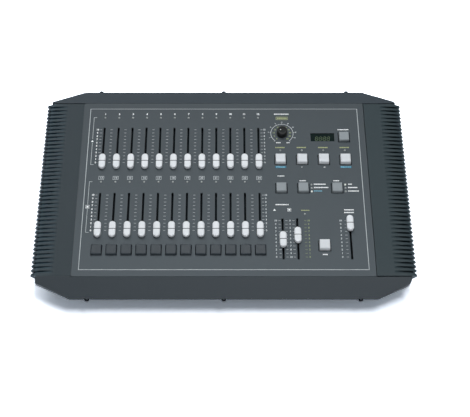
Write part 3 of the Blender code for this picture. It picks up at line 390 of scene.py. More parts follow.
def grained(name, colour, other, roughness, grain, depth, metallic=0.0, shine=0.25):
    """A finish with a fine grain in relief, soft patches of a second colour, faint rubbed
    streaks across it, and uneven gloss."""
    material = bpy.data.materials.new(name)
    material.use_nodes = True
    tree = material.node_tree
    shader = tree.nodes["Principled BSDF"]
    shader.inputs["Metallic"].default_value = metallic
    shader.inputs["Specular IOR Level"].default_value = shine
    place = tree.nodes.new("ShaderNodeTexCoord")
    fine = add_node(tree, "ShaderNodeTexNoise", Scale=1 / grain, Detail=3.0)
    cloud = add_node(tree, "ShaderNodeTexNoise", Scale=1 / PATCHES, Detail=4.0)
    stretch = tree.nodes.new("ShaderNodeMapping")
    stretch.inputs["Scale"].default_value = STREAK_STRETCH
    streak = add_node(tree, "ShaderNodeTexNoise", Scale=1 / (PATCHES * 4), Detail=6.0)
    worn = add_node(tree, "ShaderNodeMapRange")
    worn.inputs["From Min"].default_value, worn.inputs["From Max"].default_value = STREAK_RANGE
    worn.inputs["To Max"].default_value = STREAK_SHARE
    gloss = add_node(tree, "ShaderNodeMapRange")
    gloss.inputs["To Min"].default_value = roughness - GLOSS_SPREAD
    gloss.inputs["To Max"].default_value = roughness + GLOSS_SPREAD
    rubbed = add_node(tree, "ShaderNodeMath", operation="MULTIPLY_ADD")
    rubbed.inputs[1].default_value = STREAK_GLOSS
    relief = add_node(tree, "ShaderNodeBump", Strength=RELIEF, Distance=depth)
    for noise in (fine, cloud):
        tree.links.new(place.outputs["Object"], noise.inputs["Vector"])
    tree.links.new(place.outputs["Object"], stretch.inputs["Vector"])
    tree.links.new(stretch.outputs["Vector"], streak.inputs["Vector"])
    tree.links.new(streak.outputs["Fac"], worn.inputs["Value"])
    patched = mixed(tree, cloud.outputs["Fac"], colour, other)
    lighter = tuple(min(1.0, channel * STREAK_LIGHTER) for channel in other)
    tinted = mixed(tree, worn.outputs["Result"], patched, lighter)
    tree.links.new(tinted, shader.inputs["Base Color"])
    tree.links.new(cloud.outputs["Fac"], gloss.inputs["Value"])
    tree.links.new(worn.outputs["Result"], rubbed.inputs[0])
    tree.links.new(gloss.outputs["Result"], rubbed.inputs[2])
    tree.links.new(rubbed.outputs[0], shader.inputs["Roughness"])
    tree.links.new(fine.outputs["Fac"], relief.inputs["Height"])
    tree.links.new(relief.outputs["Normal"], shader.inputs["Normal"])
    return material


def distance_along(tree, origin, direction):
    """How far the surface lies from the origin along a direction."""
    place = tree.nodes.new("ShaderNodeTexCoord")
    away = add_node(tree, "ShaderNodeVectorMath", operation="SUBTRACT")
    away.inputs[1].default_value = origin
    along = add_node(tree, "ShaderNodeVectorMath", operation="DOT_PRODUCT")
    along.inputs[1].default_value = direction
    tree.links.new(place.outputs["Object"], away.inputs[0])
    tree.links.new(away.outputs[0], along.inputs[0])
    return along.outputs["Value"]


def past(tree, origin, direction, reach):
    """One where the surface lies further than reach from the origin along a direction."""
    over = add_node(tree, "ShaderNodeMath", operation="GREATER_THAN")
    over.inputs[1].default_value = reach
    tree.links.new(distance_along(tree, origin, direction), over.inputs[0])
    return over.outputs[0]


def change_colour(tree, share, colour, blend="MIX"):
    """Mixes a share of another colour into a finish."""
    slot = tree.nodes["Principled BSDF"].inputs["Base Color"]
    tree.links.new(mixed(tree, share, slot.links[0].from_socket, colour, blend), slot)


def second_colour(material, colour, *limits):
    """Gives the part of a finish that lies past all the limits another colour."""
    tree = material.node_tree
    share = past(tree, *limits[0])
    for limit in limits[1:]:
        both = add_node(tree, "ShaderNodeMath", operation="MULTIPLY")
        tree.links.new(share, both.inputs[0])
        tree.links.new(past(tree, *limit), both.inputs[1])
        share = both.outputs[0]
    change_colour(tree, share, colour)


def spot_colour(material, colour, middle, reach):
    """Gives the part of a finish that lies near a point another colour and hardly any gloss; used
    for painted shade round the front case screws.
    """
    tree = material.node_tree
    place = tree.nodes.new("ShaderNodeTexCoord")
    away = add_node(tree, "ShaderNodeVectorMath", operation="DISTANCE")
    away.inputs[1].default_value = middle
    near = add_node(tree, "ShaderNodeMath", operation="LESS_THAN")
    near.inputs[1].default_value = reach
    tree.links.new(place.outputs["Object"], away.inputs[0])
    tree.links.new(away.outputs["Value"], near.inputs[0])
    change_colour(tree, near.outputs[0], colour)
    gloss = tree.nodes["Principled BSDF"].inputs["Specular IOR Level"]
    dull = add_node(tree, "ShaderNodeMapRange")
    dull.inputs["To Max"].default_value = SPOT_GLOSS
    if gloss.is_linked:
        tree.links.new(gloss.links[0].from_socket, dull.inputs["To Min"])
    else:
        dull.inputs["To Min"].default_value = gloss.default_value
    tree.links.new(near.outputs[0], dull.inputs["Value"])
    tree.links.new(dull.outputs["Result"], gloss)


def faded(material, origin, direction, reach, last, limit=None):
    """Tones a finish bit by bit along a direction, to a last share of its colour at the reach,
    and only past the limit where one is given; used here for painted light and shade."""
    tree = material.node_tree
    share = add_node(tree, "ShaderNodeMapRange")
    share.inputs["From Max"].default_value = reach
    share.inputs["To Min"].default_value = 1.0
    share.inputs["To Max"].default_value = last
    tree.links.new(distance_along(tree, origin, direction), share.inputs["Value"])
    held = past(tree, *limit) if limit else 1.0
    change_colour(tree, held, share.outputs["Result"], "MULTIPLY")


def ink(name, colour, other):
    """A printed colour, faintly grained."""
    return grained(name, colour, other, 0.50, 0.0004, 0.000006)


# Each finish has two colours, a roughness, and its grain's size and depth in metres
FRAME_PLASTIC = grained(
    "frame_plastic", (0.038, 0.050, 0.061), (0.046, 0.059, 0.070), 0.55, 0.0006, 0.00006
)
# Painted light and shade: the two cheeks are one plastic, coloured apart for the different light on
# each side, the right one lighter and greener
LEFT_CHEEK_PLASTIC = grained(
    "left_cheek_plastic", (0.020, 0.032, 0.040), (0.026, 0.039, 0.047), 0.58, 0.0006, 0.00006
)
RIGHT_CHEEK_PLASTIC = grained(
    "right_cheek_plastic", (0.022, 0.037, 0.044), (0.028, 0.044, 0.051), 0.58, 0.0006, 0.00006
)
PANEL_PAINT = grained(
    "panel_paint", (0.061, 0.077, 0.089), (0.071, 0.089, 0.101), 0.60, 0.0004, 0.00003
)
PAN_PAINT = grained(
    "pan_paint", (0.030, 0.037, 0.043), (0.037, 0.045, 0.051), 0.50, 0.0005, 0.00004
)
CAP_PLASTIC = grained(
    "cap_plastic", (0.655, 0.69, 0.725), (0.715, 0.745, 0.775), 0.42, 0.0003, 0.000008
)
KEY_WHITE_PLASTIC = grained(
    "key_white_plastic", (0.575, 0.61, 0.645), (0.625, 0.655, 0.685), 0.45, 0.0003, 0.00001
)
CAP_LINE_INK = grained(
    "cap_line_ink", (0.07, 0.08, 0.09), (0.10, 0.11, 0.12), 0.50, 0.0003, 0.000004
)
BUMP_PLASTIC = grained(
    "bump_plastic", (0.029, 0.039, 0.048), (0.036, 0.047, 0.056), 0.50, 0.0003, 0.00001
)
GREY_PLASTIC = grained(
    "grey_plastic", (0.225, 0.255, 0.275), (0.25, 0.28, 0.30), 0.50, 0.0003, 0.00001
)
KNOB_PLASTIC = grained(
    "knob_plastic", (0.009, 0.010, 0.011), (0.014, 0.015, 0.016), 0.40, 0.0003, 0.00001
)
KNOB_TOP_PLASTIC = grained(
    "knob_top_plastic", (0.006, 0.009, 0.009), (0.009, 0.012, 0.012),
    0.50, 0.0003, 0.000006, shine=0.14,
)
SMOKED_ACRYLIC = grained(
    "smoked_acrylic", (0.004, 0.010, 0.010), (0.005, 0.013, 0.012), 0.14, 0.0020, 0.000004
)
DIGIT_SEGMENTS = grained(
    "digit_segments", (0.075, 0.112, 0.058), (0.085, 0.128, 0.068), 0.40, 0.0004, 0.000004
)
LAMP_EPOXY = grained("lamp_epoxy", (0.30, 0.33, 0.33), (0.38, 0.41, 0.41), 0.25, 0.0006, 0.000004)
LAMP_LIT = grained("lamp_lit", (0.86, 0.90, 0.84), (0.90, 0.94, 0.90), 0.25, 0.0006, 0.000004)
BOARD_LAMINATE = grained(
    "board_laminate", (0.003, 0.005, 0.007), (0.005, 0.007, 0.009),
    0.60, 0.0008, 0.00002, shine=0.04,
)
NICKEL = grained(
    "nickel_shell", (0.13, 0.135, 0.14), (0.17, 0.17, 0.17), 0.42, 0.0005, 0.00001, metallic=1.0
)
CONTACT_GOLD = grained(
    "contact_gold", (0.62, 0.42, 0.13), (0.70, 0.48, 0.16), 0.30, 0.0004, 0.000004, metallic=1.0
)
SOCKET_BLACK = grained(
    "socket_black", (0.010, 0.010, 0.010), (0.016, 0.016, 0.016), 0.45, 0.0005, 0.00002
)
WHITE_INK = ink("white_ink", (0.86, 0.90, 0.92), (0.92, 0.95, 0.97))
LINE_INK = ink("line_ink", (0.40, 0.44, 0.46), (0.48, 0.52, 0.54))
YELLOW_INK = ink("yellow_green_ink", (0.31, 0.35, 0.17), (0.38, 0.42, 0.21))
BLUE_INK = ink("blue_ink", (0.16, 0.42, 0.56), (0.20, 0.48, 0.64))
BLUE_BAND_INK = ink("blue_band_ink", (0.012, 0.090, 0.150), (0.016, 0.105, 0.170))
SCALE_INK = ink("scale_ink", (0.46, 0.50, 0.52), (0.54, 0.58, 0.60))
TICK_INK = ink("tick_ink", (0.42, 0.45, 0.47), (0.50, 0.53, 0.55))
DIM_YELLOW_INK = ink("dim_yellow_ink", (0.21, 0.26, 0.13), (0.26, 0.31, 0.16))
# Painted shade: the near-black print for the shade round the openings and keys
EDGE_SHADE = grained(
    "painted_shade_ink", (0.004, 0.007, 0.010), (0.006, 0.009, 0.012), 0.60, 0.0004, 0.000006, shine=0.04
)

ORIGIN = (0.0, 0.0, 0.0)
PANEL_CORNER = (0.0, PANEL_Y, PANEL_Z)
INTO_PANEL = (0.0, math.sin(TILT), -math.cos(TILT))
UP_PANEL = (0.0, math.cos(TILT), math.sin(TILT))
DOWN_PANEL = (0.0, -math.cos(TILT), -math.sin(TILT))
LEFT = (-1.0, 0.0, 0.0)
RIGHT = (1.0, 0.0, 0.0)
TO_FRONT = (0.0, -1.0, 0.0)
DOWN = (0.0, 0.0, -1.0)

# Painted light: the cheeks' grooves are coloured paler than their tops, deeper down more so and on
# the left more so, but not out at the noses, to lift the shade in them; the left cheek's ribbed
# part is also painted lighter toward its outer side
GROOVE_DEPTH = 0.0060
NOSE_X = -0.2385
faded(LEFT_CHEEK_PLASTIC, (-0.212, 0.0, 0.0), LEFT, 0.02, 1.35)
faded(LEFT_CHEEK_PLASTIC, PANEL_CORNER, INTO_PANEL, GROOVE_DEPTH, 5.0, (ORIGIN, RIGHT, NOSE_X))
faded(RIGHT_CHEEK_PLASTIC, PANEL_CORNER, INTO_PANEL, GROOVE_DEPTH, 1.5)

# Painted shade: the frame's colour darkens toward the front and the panel's toward the rear and a
# little to the right
TO_REAR_RIGHT = (0.08, 0.996, 0.0)
faded(FRAME_PLASTIC, (0.0, 0.10, 0.0), TO_FRONT, 0.23, 0.78)
faded(PANEL_PAINT, PANEL_CORNER, TO_REAR_RIGHT, 0.27, 0.78)

# Painted shade: the panel is coloured near-black inside its openings, below the printed face and
# away from its outer edges, for the shade in them
SHADE_BELOW_FACE = 0.0002
OUTER_EDGE = 0.0020
OUTER_EDGE_X = 0.19
second_colour(
    PANEL_PAINT,
    (0.005, 0.007, 0.009),
    (PANEL_CORNER, INTO_PANEL, SHADE_BELOW_FACE),
    (PANEL_CORNER, UP_PANEL, OUTER_EDGE),
    (PANEL_CORNER, DOWN_PANEL, OUTER_EDGE - PANEL_DEPTH),
    (ORIGIN, RIGHT, -OUTER_EDGE_X),
    (ORIGIN, LEFT, -OUTER_EDGE_X),
)

# Painted shade: the front case screws and the frame round them are coloured near-black with hardly
# any gloss. The rubber feet are dark.
for side in (-1, 0, 1):
    screw = on_panel(side * SCREW_X, SCREW_V, SCREW_H)
    spot_colour(FRAME_PLASTIC, (0.003, 0.005, 0.007), screw, SCREW_SHADE_SPOT)
FOOT_TOP = (0.0, 0.0, 0.0060)
second_colour(PAN_PAINT, (0.010, 0.010, 0.010), (FOOT_TOP, DOWN, 0.00001))


# Fader caps

def model_fader_cap():
    """A pill cap dipped for the finger, a dark line across it, and the flat lever under it."""
    top = CAP_LIFT + CAP_HEIGHT
    cap = add_block(
        "fader_cap", (CAP_WIDTH, CAP_LENGTH, CAP_HEIGHT), (0.0, 0.0, (top + CAP_LIFT) / 2)
    )
    start_shaping(cap)
    choose(cap, "edges", upright)
    bpy.ops.mesh.bevel(offset=CAP_WIDTH / 2 - 0.0001, segments=10, profile=0.5)
    choose(cap, "edges", above(top))
    bpy.ops.mesh.bevel(offset=CAP_EDGE_ROUND, segments=6, profile=0.5)
    choose(cap, "edges", below(CAP_LIFT))
    bpy.ops.mesh.bevel(offset=CAP_FOOT_ROUND, segments=2, profile=0.5)
    for y in [-cut for cut in CAP_CUTS] + list(reversed(CAP_CUTS)):
        bpy.ops.mesh.select_all(action="SELECT")
        bpy.ops.mesh.bisect(plane_co=(0.0, y, 0.0), plane_no=(0.0, 1.0, 0.0))
    shape = bmesh.from_edit_mesh(cap.data)
    for vert in shape.verts:
        share = max(0.0, (vert.co.z - CAP_LIFT) / CAP_HEIGHT)
        vert.co.z -= CAP_DIP * share * math.cos(math.pi * vert.co.y / CAP_LENGTH)
    bmesh.update_edit_mesh(cap.data)
    stop_shaping()
    cap.data.materials.append(CAP_PLASTIC)
    cap.data.materials.append(CAP_LINE_INK)
    line_foot = CAP_LIFT + CAP_HEIGHT * CAP_LINE_FOOT
    for face in cap.data.polygons:
        on_line = abs(face.center.y) < CAP_LINE / 2 and face.center.z > line_foot
        face.material_index = 1 if on_line else 0
    lever = add_block(
        "lever",
        (LEVER_THICK, LEVER_LENGTH, CAP_LIFT + LEVER_FOOT + LEVER_IN_CAP),
        (0.0, 0.0, (CAP_LIFT + LEVER_IN_CAP - LEVER_FOOT) / 2),
    )
    lever.data.materials.append(NICKEL)
    return join_pieces([cap, lever])


def place_copies(model, places, material):
    """Puts a copy of a model in the place of each named node, then removes the model."""
    for node, x, v in places:
        piece = copy_of(model, "shown_" + node)
        seat_on_panel(piece, x, v)
        finish_piece(piece, material, node)
        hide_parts(node)
    bpy.data.objects.remove(model)


def make_fader_caps():
    places = [(f"fader_cap_a{n + 1:02d}", x, SCENE_A_V) for n, x in enumerate(COLUMNS)]
    places += [(f"fader_cap_b{n + 1:02d}", x, SCENE_B_V) for n, x in enumerate(COLUMNS)]
    places += [
        ("preset_a_fader_cap", MASTER_X[0], MASTER_V + PRESET_A_REST * FADER_TRAVEL),
        ("preset_b_fader_cap", PRESET_B_X, MASTER_V + PRESET_B_REST * FADER_TRAVEL),
        ("grand_master_fader_cap", MASTER_X[3], MASTER_V + GRAND_MASTER_REST * FADER_TRAVEL),
    ]
    place_copies(model_fader_cap(), places, CAP_PLASTIC)


# Key caps

def model_key(name, size, rounding):
    """A moulded key cap with drafted sides, round corners and edges, the front edge rounder than
    the others, and a slightly dished top."""
    width, depth, height = size
    edge_round, front_round = rounding
    key = add_block(
        name, (width, depth, height + KEY_SKIRT), (0.0, 0.0, (height - KEY_SKIRT) / 2)
    )
    start_shaping(key)
    choose(key, "faces", lambda face: face.normal.z > 0.9)
    share_x = (width - 2 * KEY_DRAFT) / width
    share_y = (depth - 2 * KEY_DRAFT) / depth
    bpy.ops.transform.resize(value=(share_x, share_y, 1.0))
    choose(key, "edges", lambda edge: all(vert.co.z > 0.0 > vert.co.y for vert in edge.verts))
    bpy.ops.mesh.bevel(offset=front_round, segments=5, profile=0.5)

    def sharp(edge):
        return max(vert.co.z for vert in edge.verts) > 0.0 and edge.calc_face_angle(0.0) > 1.0

    choose(key, "edges", sharp)
    bpy.ops.mesh.bevel(offset=edge_round, segments=4, profile=0.5)
    choose(key, "faces", lambda face: face.normal.z > 0.99 and face.calc_area() > width * depth / 4)
    for _ in range(2):
        bpy.ops.mesh.inset(thickness=width * KEY_DISH_SHARE, depth=0.0)
        bpy.ops.transform.translate(value=(0.0, 0.0, -KEY_DISH / 2))
    stop_shaping()
    return key


def make_keys():
    bump = [(f"bump_key_{n + 1:02d}", x, BUMP_V) for n, x in enumerate(COLUMNS)]
    white = [(f"effect_key_{n + 1}", x, EFFECT_V) for n, x in enumerate(MASTER_X)]
    white.append(("go_key", GO_X, GO_V))
    grey = [
        ("blackout_key", MASTER_X[3], BLACKOUT_V),
        ("hold_key", MASTER_X[0], MODE_V),
        ("mode_key", MASTER_X[1], MODE_V),
        ("flash_key", FLASH_X, MODE_V),
    ]
    bump_key = model_key("bump_key", BUMP_KEY, BUMP_KEY_ROUND)
    white_key = model_key("white_key", WHITE_KEY, WHITE_KEY_ROUND)
    grey_key = model_key("grey_key", GREY_KEY, GREY_KEY_ROUND)
    place_copies(bump_key, bump, BUMP_PLASTIC)
    place_copies(white_key, white, KEY_WHITE_PLASTIC)
    place_copies(grey_key, grey, GREY_PLASTIC)


# Fade-time knob

def make_knob():
    """A fluted knob with a thin skirt, a dished top and a white dot."""
    pick(None)
    bpy.ops.mesh.primitive_cylinder_add(
        vertices=4 * KNOB_FLUTES,
        radius=KNOB_RADIUS,
        depth=KNOB_RIM,
        location=(0.0, 0.0, KNOB_LIFT + KNOB_RIM / 2),
    )
    knob = bpy.context.object
    knob.name = "shown_fade_time_knob"
    bpy.ops.object.transform_apply(location=True, rotation=True, scale=True)
    start_shaping(knob)
    choose(knob, "faces", lambda face: face.normal.z > 0.9)
    foot = (KNOB_RADIUS + KNOB_TOP_RADIUS) / 2
    bpy.ops.mesh.inset(thickness=KNOB_RADIUS - foot, depth=0.0)
    rise = KNOB_HEIGHT - KNOB_RIM
    bpy.ops.mesh.extrude_region_move(TRANSFORM_OT_translate={"value": (0.0, 0.0, rise)})
    taper = KNOB_TOP_RADIUS / foot
    bpy.ops.transform.resize(value=(taper, taper, 1.0))
    choose(knob, "edges", above(KNOB_LIFT + KNOB_HEIGHT))
    bpy.ops.mesh.bevel(offset=KNOB_EDGE_ROUND, segments=4, profile=0.5)

    def in_flute(vert):
        turn = math.degrees(math.atan2(vert.co.y, vert.co.x)) % (360 / KNOB_FLUTES)
        radius = math.hypot(vert.co.x, vert.co.y)
        on_side = KNOB_TOP_RADIUS - KNOB_SIDE_SLACK < radius < foot + 0.0001
        return turn < 1.0 and on_side and vert.co.z > KNOB_LIFT + KNOB_RIM / 2

    choose(knob, "verts", in_flute)
    bpy.ops.transform.resize(value=(KNOB_FLUTE_SHARE, KNOB_FLUTE_SHARE, 1.0))
    choose(knob, "faces", lambda face: face.normal.z > 0.99 and face.calc_area() > 5e-5)
    bpy.ops.mesh.inset(thickness=KNOB_LIP, depth=0.0)
    bpy.ops.mesh.inset(thickness=KNOB_DISH_EDGE, depth=-KNOB_DISH)
    stop_shaping()
    top = KNOB_LIFT + KNOB_HEIGHT - KNOB_DISH
    knob.data.materials.append(KNOB_PLASTIC)
    knob.data.materials.append(KNOB_TOP_PLASTIC)
    for face in knob.data.polygons:
        on_top = face.normal.z > 0.99 and abs(face.center.z - top) < 1e-5
        face.material_index = 1 if on_top else 0
    seat_on_panel(knob, KNOB_X, KNOB_V)
    finish_piece(knob, KNOB_PLASTIC, "fade_time_knob")
    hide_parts("fade_time_knob")

    pick(None)
    bpy.ops.mesh.primitive_uv_sphere_add(segments=16, ring_count=8, radius=KNOB_DOT_RADIUS)
    dot = bpy.context.object
    dot.name = "knob_dot"
    dot.scale = (1.0, 1.0, 0.20)
    dot.location = (
        KNOB_DOT_REACH * math.cos(KNOB_DOT_ANGLE),
        KNOB_DOT_REACH * math.sin(KNOB_DOT_ANGLE),
        top - KNOB_DOT_SINK,
    )
    bpy.ops.object.transform_apply(location=True, rotation=True, scale=True)
    seat_on_panel(dot, KNOB_X, KNOB_V)
    finish_piece(dot, WHITE_INK, "fade_time_knob")


# Display digits

def make_digits():
    """Four unlit seven-segment digits just under the face of the smoked window."""
    half = DIGIT_HEIGHT / 2
    bars = [(0.0, v, DIGIT_WIDTH - DIGIT_STROKE, DIGIT_STROKE) for v in (-half, 0.0, half)]
    bars += [
        (side * DIGIT_WIDTH / 2, v, DIGIT_STROKE, half - DIGIT_STROKE)
        for side in (-1, 1)
        for v in (-half / 2, half / 2)
    ]
    segments = []
    for place in range(DIGIT_COUNT):
        x = (place - (DIGIT_COUNT - 1) / 2) * DIGIT_PITCH
        for bar_x, v, across, along in bars:
            slanted_x = x + bar_x + v * DIGIT_SLANT
            segment = add_block("segment", (across, along, INK), (slanted_x, v, 0.0))
            start_shaping(segment)
            choose(segment, "edges", upright)
            bpy.ops.mesh.bevel(offset=DIGIT_STROKE * 0.4, segments=1)
            stop_shaping()
            segments.append(segment)
    digits = join_pieces(segments)
    digits.name = "display_digits"
    seat_on_panel(digits, DISPLAY_X, BLACKOUT_V - DIGIT_DROP, -DISPLAY_RECESS + INK)
    finish_piece(digits, DIGIT_SEGMENTS, "console")


# Indicator lamps

def model_lamp():
    """A round lamp with a domed lens and a thin collar."""
    pick(None)
    bpy.ops.mesh.primitive_cylinder_add(
        vertices=16,
        radius=LAMP_RADIUS,
        depth=LAMP_FOOT + LAMP_COLLAR,
        location=(0.0, 0.0, (LAMP_COLLAR - LAMP_FOOT) / 2),
    )
    lamp = bpy.context.object
    bpy.ops.object.transform_apply(location=True, rotation=True, scale=True)
    start_shaping(lamp)
    choose(lamp, "faces", lambda face: face.normal.z > 0.9)
    for rise, share in LAMP_STEPS:
        bpy.ops.mesh.extrude_region_move(
            TRANSFORM_OT_translate={"value": (0.0, 0.0, LAMP_DOME * rise)}
        )
        bpy.ops.transform.resize(value=(share, share, 1.0))
    stop_shaping()
    return lamp


def make_lamps():
    lamp = model_lamp()
    rows = [(x, LAMP_A_V) for x in COLUMNS] + [(x, LAMP_B_V) for x in COLUMNS]
    rows += [(x, EFFECT_V + EFFECT_LAMP_RISE) for x in MASTER_X]
    for x in (MASTER_X[1] + MODE_LAMP_ASIDE, FLASH_X + MODE_LAMP_ASIDE):
        rows += [(x, MODE_V + MODE_LAMP_PITCH * step) for step in (-1, 0, 1)]
    rows.append((PRESET_B_X + PRESET_LAMP_ASIDE, MASTER_V + FADER_TRAVEL + PRESET_LAMP_RISE))
    lit = (
        (FLASH_X + MODE_LAMP_ASIDE, MODE_V + MODE_LAMP_PITCH),
        (MASTER_X[1] + MODE_LAMP_ASIDE, MODE_V - MODE_LAMP_PITCH),
    )
    copies = []
    for x, v in rows:
        copy = copy_of(lamp, "lamp")
        copy.location = (x, v, 0.0)
        copy.data.materials.append(LAMP_EPOXY)
        copy.data.materials.append(LAMP_LIT)
        for face in copy.data.polygons:
            face.material_index = 1 if (x, v) in lit else 0
        pick(copy)
        bpy.ops.object.transform_apply(location=True, rotation=True, scale=True)
        copies.append(copy)
    bpy.data.objects.remove(lamp)
    lenses = join_pieces(copies)
    lenses.name = "indicator_lenses"
    seat_on_panel(lenses)
    finish_piece(lenses, LAMP_EPOXY, "console", 50)


# Print on the panel

def bar(x, v, across, along):
    """One thin flat mark."""
    return add_block("mark", (across, along, INK), (x, v, INK / 2))


def word(x, v, across, height=WORD_HEIGHT):
    """A row of small plain blocks in the place of a printed word."""
    blocks = []
    start = x - across / 2
    end = x + across / 2
    while start < end - WORD_GAP:
        wide = min(WORD_BLOCKS[len(blocks) % len(WORD_BLOCKS)], end - start)
        blocks.append(bar(start + wide / 2, v, wide, height))
        start += wide + WORD_GAP
    return blocks


def number(text, x, v, height):
    pick(None)
    bpy.ops.object.text_add(location=(x, v, 0.0))
    mark = bpy.context.object
    mark.data.body = text
    mark.data.size = height / CAPITAL_SHARE
    mark.data.align_x = "CENTER"
    mark.data.align_y = "CENTER"
    mark.data.resolution_u = 2
    mark.data.extrude = INK / 2
    mark.data.offset = height * NUMBER_WEIGHT
    pick(mark)
    bpy.ops.object.convert(target="MESH")
    bpy.ops.object.transform_apply(location=True, rotation=True, scale=True)
    return bpy.context.object


def frame_marks(x, v, across, along, line):
    """The four sides of a rectangular outline."""
    return [
        bar(x, v - along / 2, across + line, line),
        bar(x, v + along / 2, across + line, line),
        bar(x - across / 2, v, line, along - line),
        bar(x + across / 2, v, line, along - line),
    ]


def print_on_panel(name, marks, ink, h=INK / 2):
    work = join_pieces(marks)
    work.name = name
    seat_on_panel(work, h=h)
    finish_piece(work, ink, "console")


def level(zero_v, step):
    """How far up the panel a fader's step from 0 to 10 lies."""
    return zero_v + FADER_TRAVEL * step / 10


def scale_ticks(x, zero_v):
    return [bar(x, level(zero_v, step), TICK_LENGTH, TICK_WIDTH) for step in SCALE_STEPS]


def scale_numbers(x, zero_v):
    return [number(str(step), x, level(zero_v, step), SCALE_NUMBER) for step in SCALE_STEPS]


def make_scale_ticks():
    ticks = []
    between_columns = [x - FADER_PITCH / 2 for x in COLUMNS[1:]]
    for zero_v in (SCENE_A_V, SCENE_B_V):
        for x in [LEFT_TICKS_X] + between_columns + [RIGHT_TICKS_X]:
            ticks += scale_ticks(x, zero_v)
    for x in MASTER_TICKS_X:
        ticks += scale_ticks(x, MASTER_V)
    print_on_panel("scale_ticks", ticks, TICK_INK)
    dim = scale_ticks(FADE_TICKS_X, MASTER_V) + scale_numbers(FADE_NUMBERS_X, MASTER_V)
    print_on_panel("fade_scale", dim, DIM_YELLOW_INK)


def make_scale_numbers():
    bold = []
    numbers = []
    for zero_v in (SCENE_A_V, SCENE_B_V):
        bold += scale_numbers(LEFT_NUMBERS_X, zero_v)
        numbers += scale_numbers(RIGHT_NUMBERS_X, zero_v)
    for x in RISING_NUMBERS_X:
        numbers += scale_numbers(x, MASTER_V)
    for step in SCALE_STEPS:
        v = level(MASTER_V, step)
        numbers.append(number(str(10 - step), FALLING_NUMBERS_X, v, SCALE_NUMBER))
    print_on_panel("left_scale_numbers", bold, WHITE_INK)
    print_on_panel("scale_numbers", numbers, SCALE_INK)


def make_channel_numbers():
    marks = []
    for n, x in enumerate(COLUMNS):
        marks.append(number(str(n + 1), x, CHANNEL_V, CHANNEL_NUMBER))
    print_on_panel("channel_numbers_1_12", marks, WHITE_INK)
    boxed = []
    for n, x in enumerate(COLUMNS):
        boxed += frame_marks(x, BOXED_CHANNEL_V, BOX_WIDTH, BOX_DEPTH, THIN_LINE)
        boxed.append(number(str(n + 13), x, BOXED_CHANNEL_V, BOXED_NUMBER))
    print_on_panel("channel_numbers_13_24", boxed, LINE_INK)


def make_keyline():
    """The line round the panel's print, thinner at the rear."""
    middle = (KEYLINE_LOW + KEYLINE_HIGH) / 2
    length = KEYLINE_HIGH - KEYLINE_LOW + KEYLINE_WIDTH
    marks = [
        bar(0.0, KEYLINE_LOW, 2 * KEYLINE_X, KEYLINE_WIDTH),
        bar(0.0, KEYLINE_HIGH, 2 * KEYLINE_X, REAR_KEYLINE_WIDTH),
        bar(-KEYLINE_X, middle, KEYLINE_WIDTH, length),
        bar(KEYLINE_X, middle, KEYLINE_WIDTH, length),
    ]
    print_on_panel("keyline", marks, LINE_INK)


def make_row_brackets():
    """A bracket left of each scene's faders, broken where the row's marker stands."""
    marks = []
    x = BRACKET_X
    gap = BRACKET_GAP
    for low, high, gap_v in ((0.1664, 0.2428, 0.2044), (0.0630, 0.1395, 0.1012)):
        marks.append(bar(x, (low + gap_v - gap) / 2, BRACKET_LINE, gap_v - gap - low))
        marks.append(bar(x, (high + gap_v + gap) / 2, BRACKET_LINE, high - gap_v - gap))
        for v in (low, high):
            foot_x = x + (BRACKET_REACH - BRACKET_LINE) / 2
            marks.append(bar(foot_x, v, BRACKET_REACH, BRACKET_LINE))
    print_on_panel("row_brackets", marks, LINE_INK)


def make_row_markers():
    """A small triangle marks scene A and a boxed square scene B, at the rows and the presets."""
    marks = []
    for x, v in ((-0.1781, 0.2040), (0.0661, 0.0965)):
        pick(None)
        bpy.ops.mesh.primitive_cylinder_add(
            vertices=3,
            radius=TRIANGLE_RADIUS,
            depth=INK,
            location=(x, v - TRIANGLE_DROP, INK / 2),
        )
        mark = bpy.context.object
        bpy.ops.object.transform_apply(location=True, rotation=True, scale=True)
        marks.append(mark)
    for x, v in ((-0.1781, 0.1011), (0.0853, 0.0965)):
        marks.append(bar(x, v, SQUARE, SQUARE))
        marks += frame_marks(x, v, SQUARE_BOX, SQUARE_BOX, SQUARE_LINE)
    print_on_panel("row_markers", marks, WHITE_INK)


def make_legend_bars():
    """Rows of plain blocks in the places of the printed words: white, yellow-green and blue.
    Each row of the table gives a word's middle across and up the panel, and its length."""
    white = []
    for x, v, across in (
        (0.0791, 0.2485, 0.0200),
        (0.1627, 0.2227, 0.0150),
        (0.0758, 0.1484, 0.0090),
        (0.1046, 0.1410, 0.0085),
        (0.1493, 0.1410, 0.0085),
        (0.1271, 0.1356, 0.0160),
        (0.1289, 0.1305, 0.0195),
        (0.1669, 0.1356, 0.0048),
        (0.1701, 0.1305, 0.0120),
        (0.1708, 0.1251, 0.0140),
        (0.0762, 0.1044, 0.0170),
        (0.1632, 0.0965, 0.0125),
        (0.1630, 0.0925, 0.0125),
        (0.1291, 0.0309, 0.0060),
    ):
        white += word(x, v, across)
    white += [bar(0.1044, 0.1625, 0.0016, 0.0009), bar(0.1345, 0.1625, 0.0022, 0.0009)]
    print_on_panel("white_legend_bars", white, WHITE_INK)
    yellow = []
    for x in MASTER_X:
        yellow += word(x, 0.1936, 0.0130, 0.0017)
    yellow += word(0.1062, 0.0958, 0.0105, 0.0013)
    yellow += frame_marks(0.0796, 0.2415, 0.0160, 0.0044, 0.0005)
    yellow += word(0.0796, 0.2415, 0.0135, 0.0024)
    print_on_panel("yellow_legend_bars", yellow, YELLOW_INK)
    bands = [bar(x, 0.1625, 0.0150, 0.0034) for x in (MASTER_X[0], MASTER_X[3])]
    print_on_panel("blue_legend_bands", bands, BLUE_BAND_INK)
    blue = word(MASTER_X[0], 0.1625, 0.0120, 0.0018) + word(MASTER_X[3], 0.1625, 0.0135, 0.0018)
    blue += word(0.1243, 0.1251, 0.0115, 0.0014)
    print_on_panel("blue_legend_bars", blue, BLUE_INK, 3 * INK)


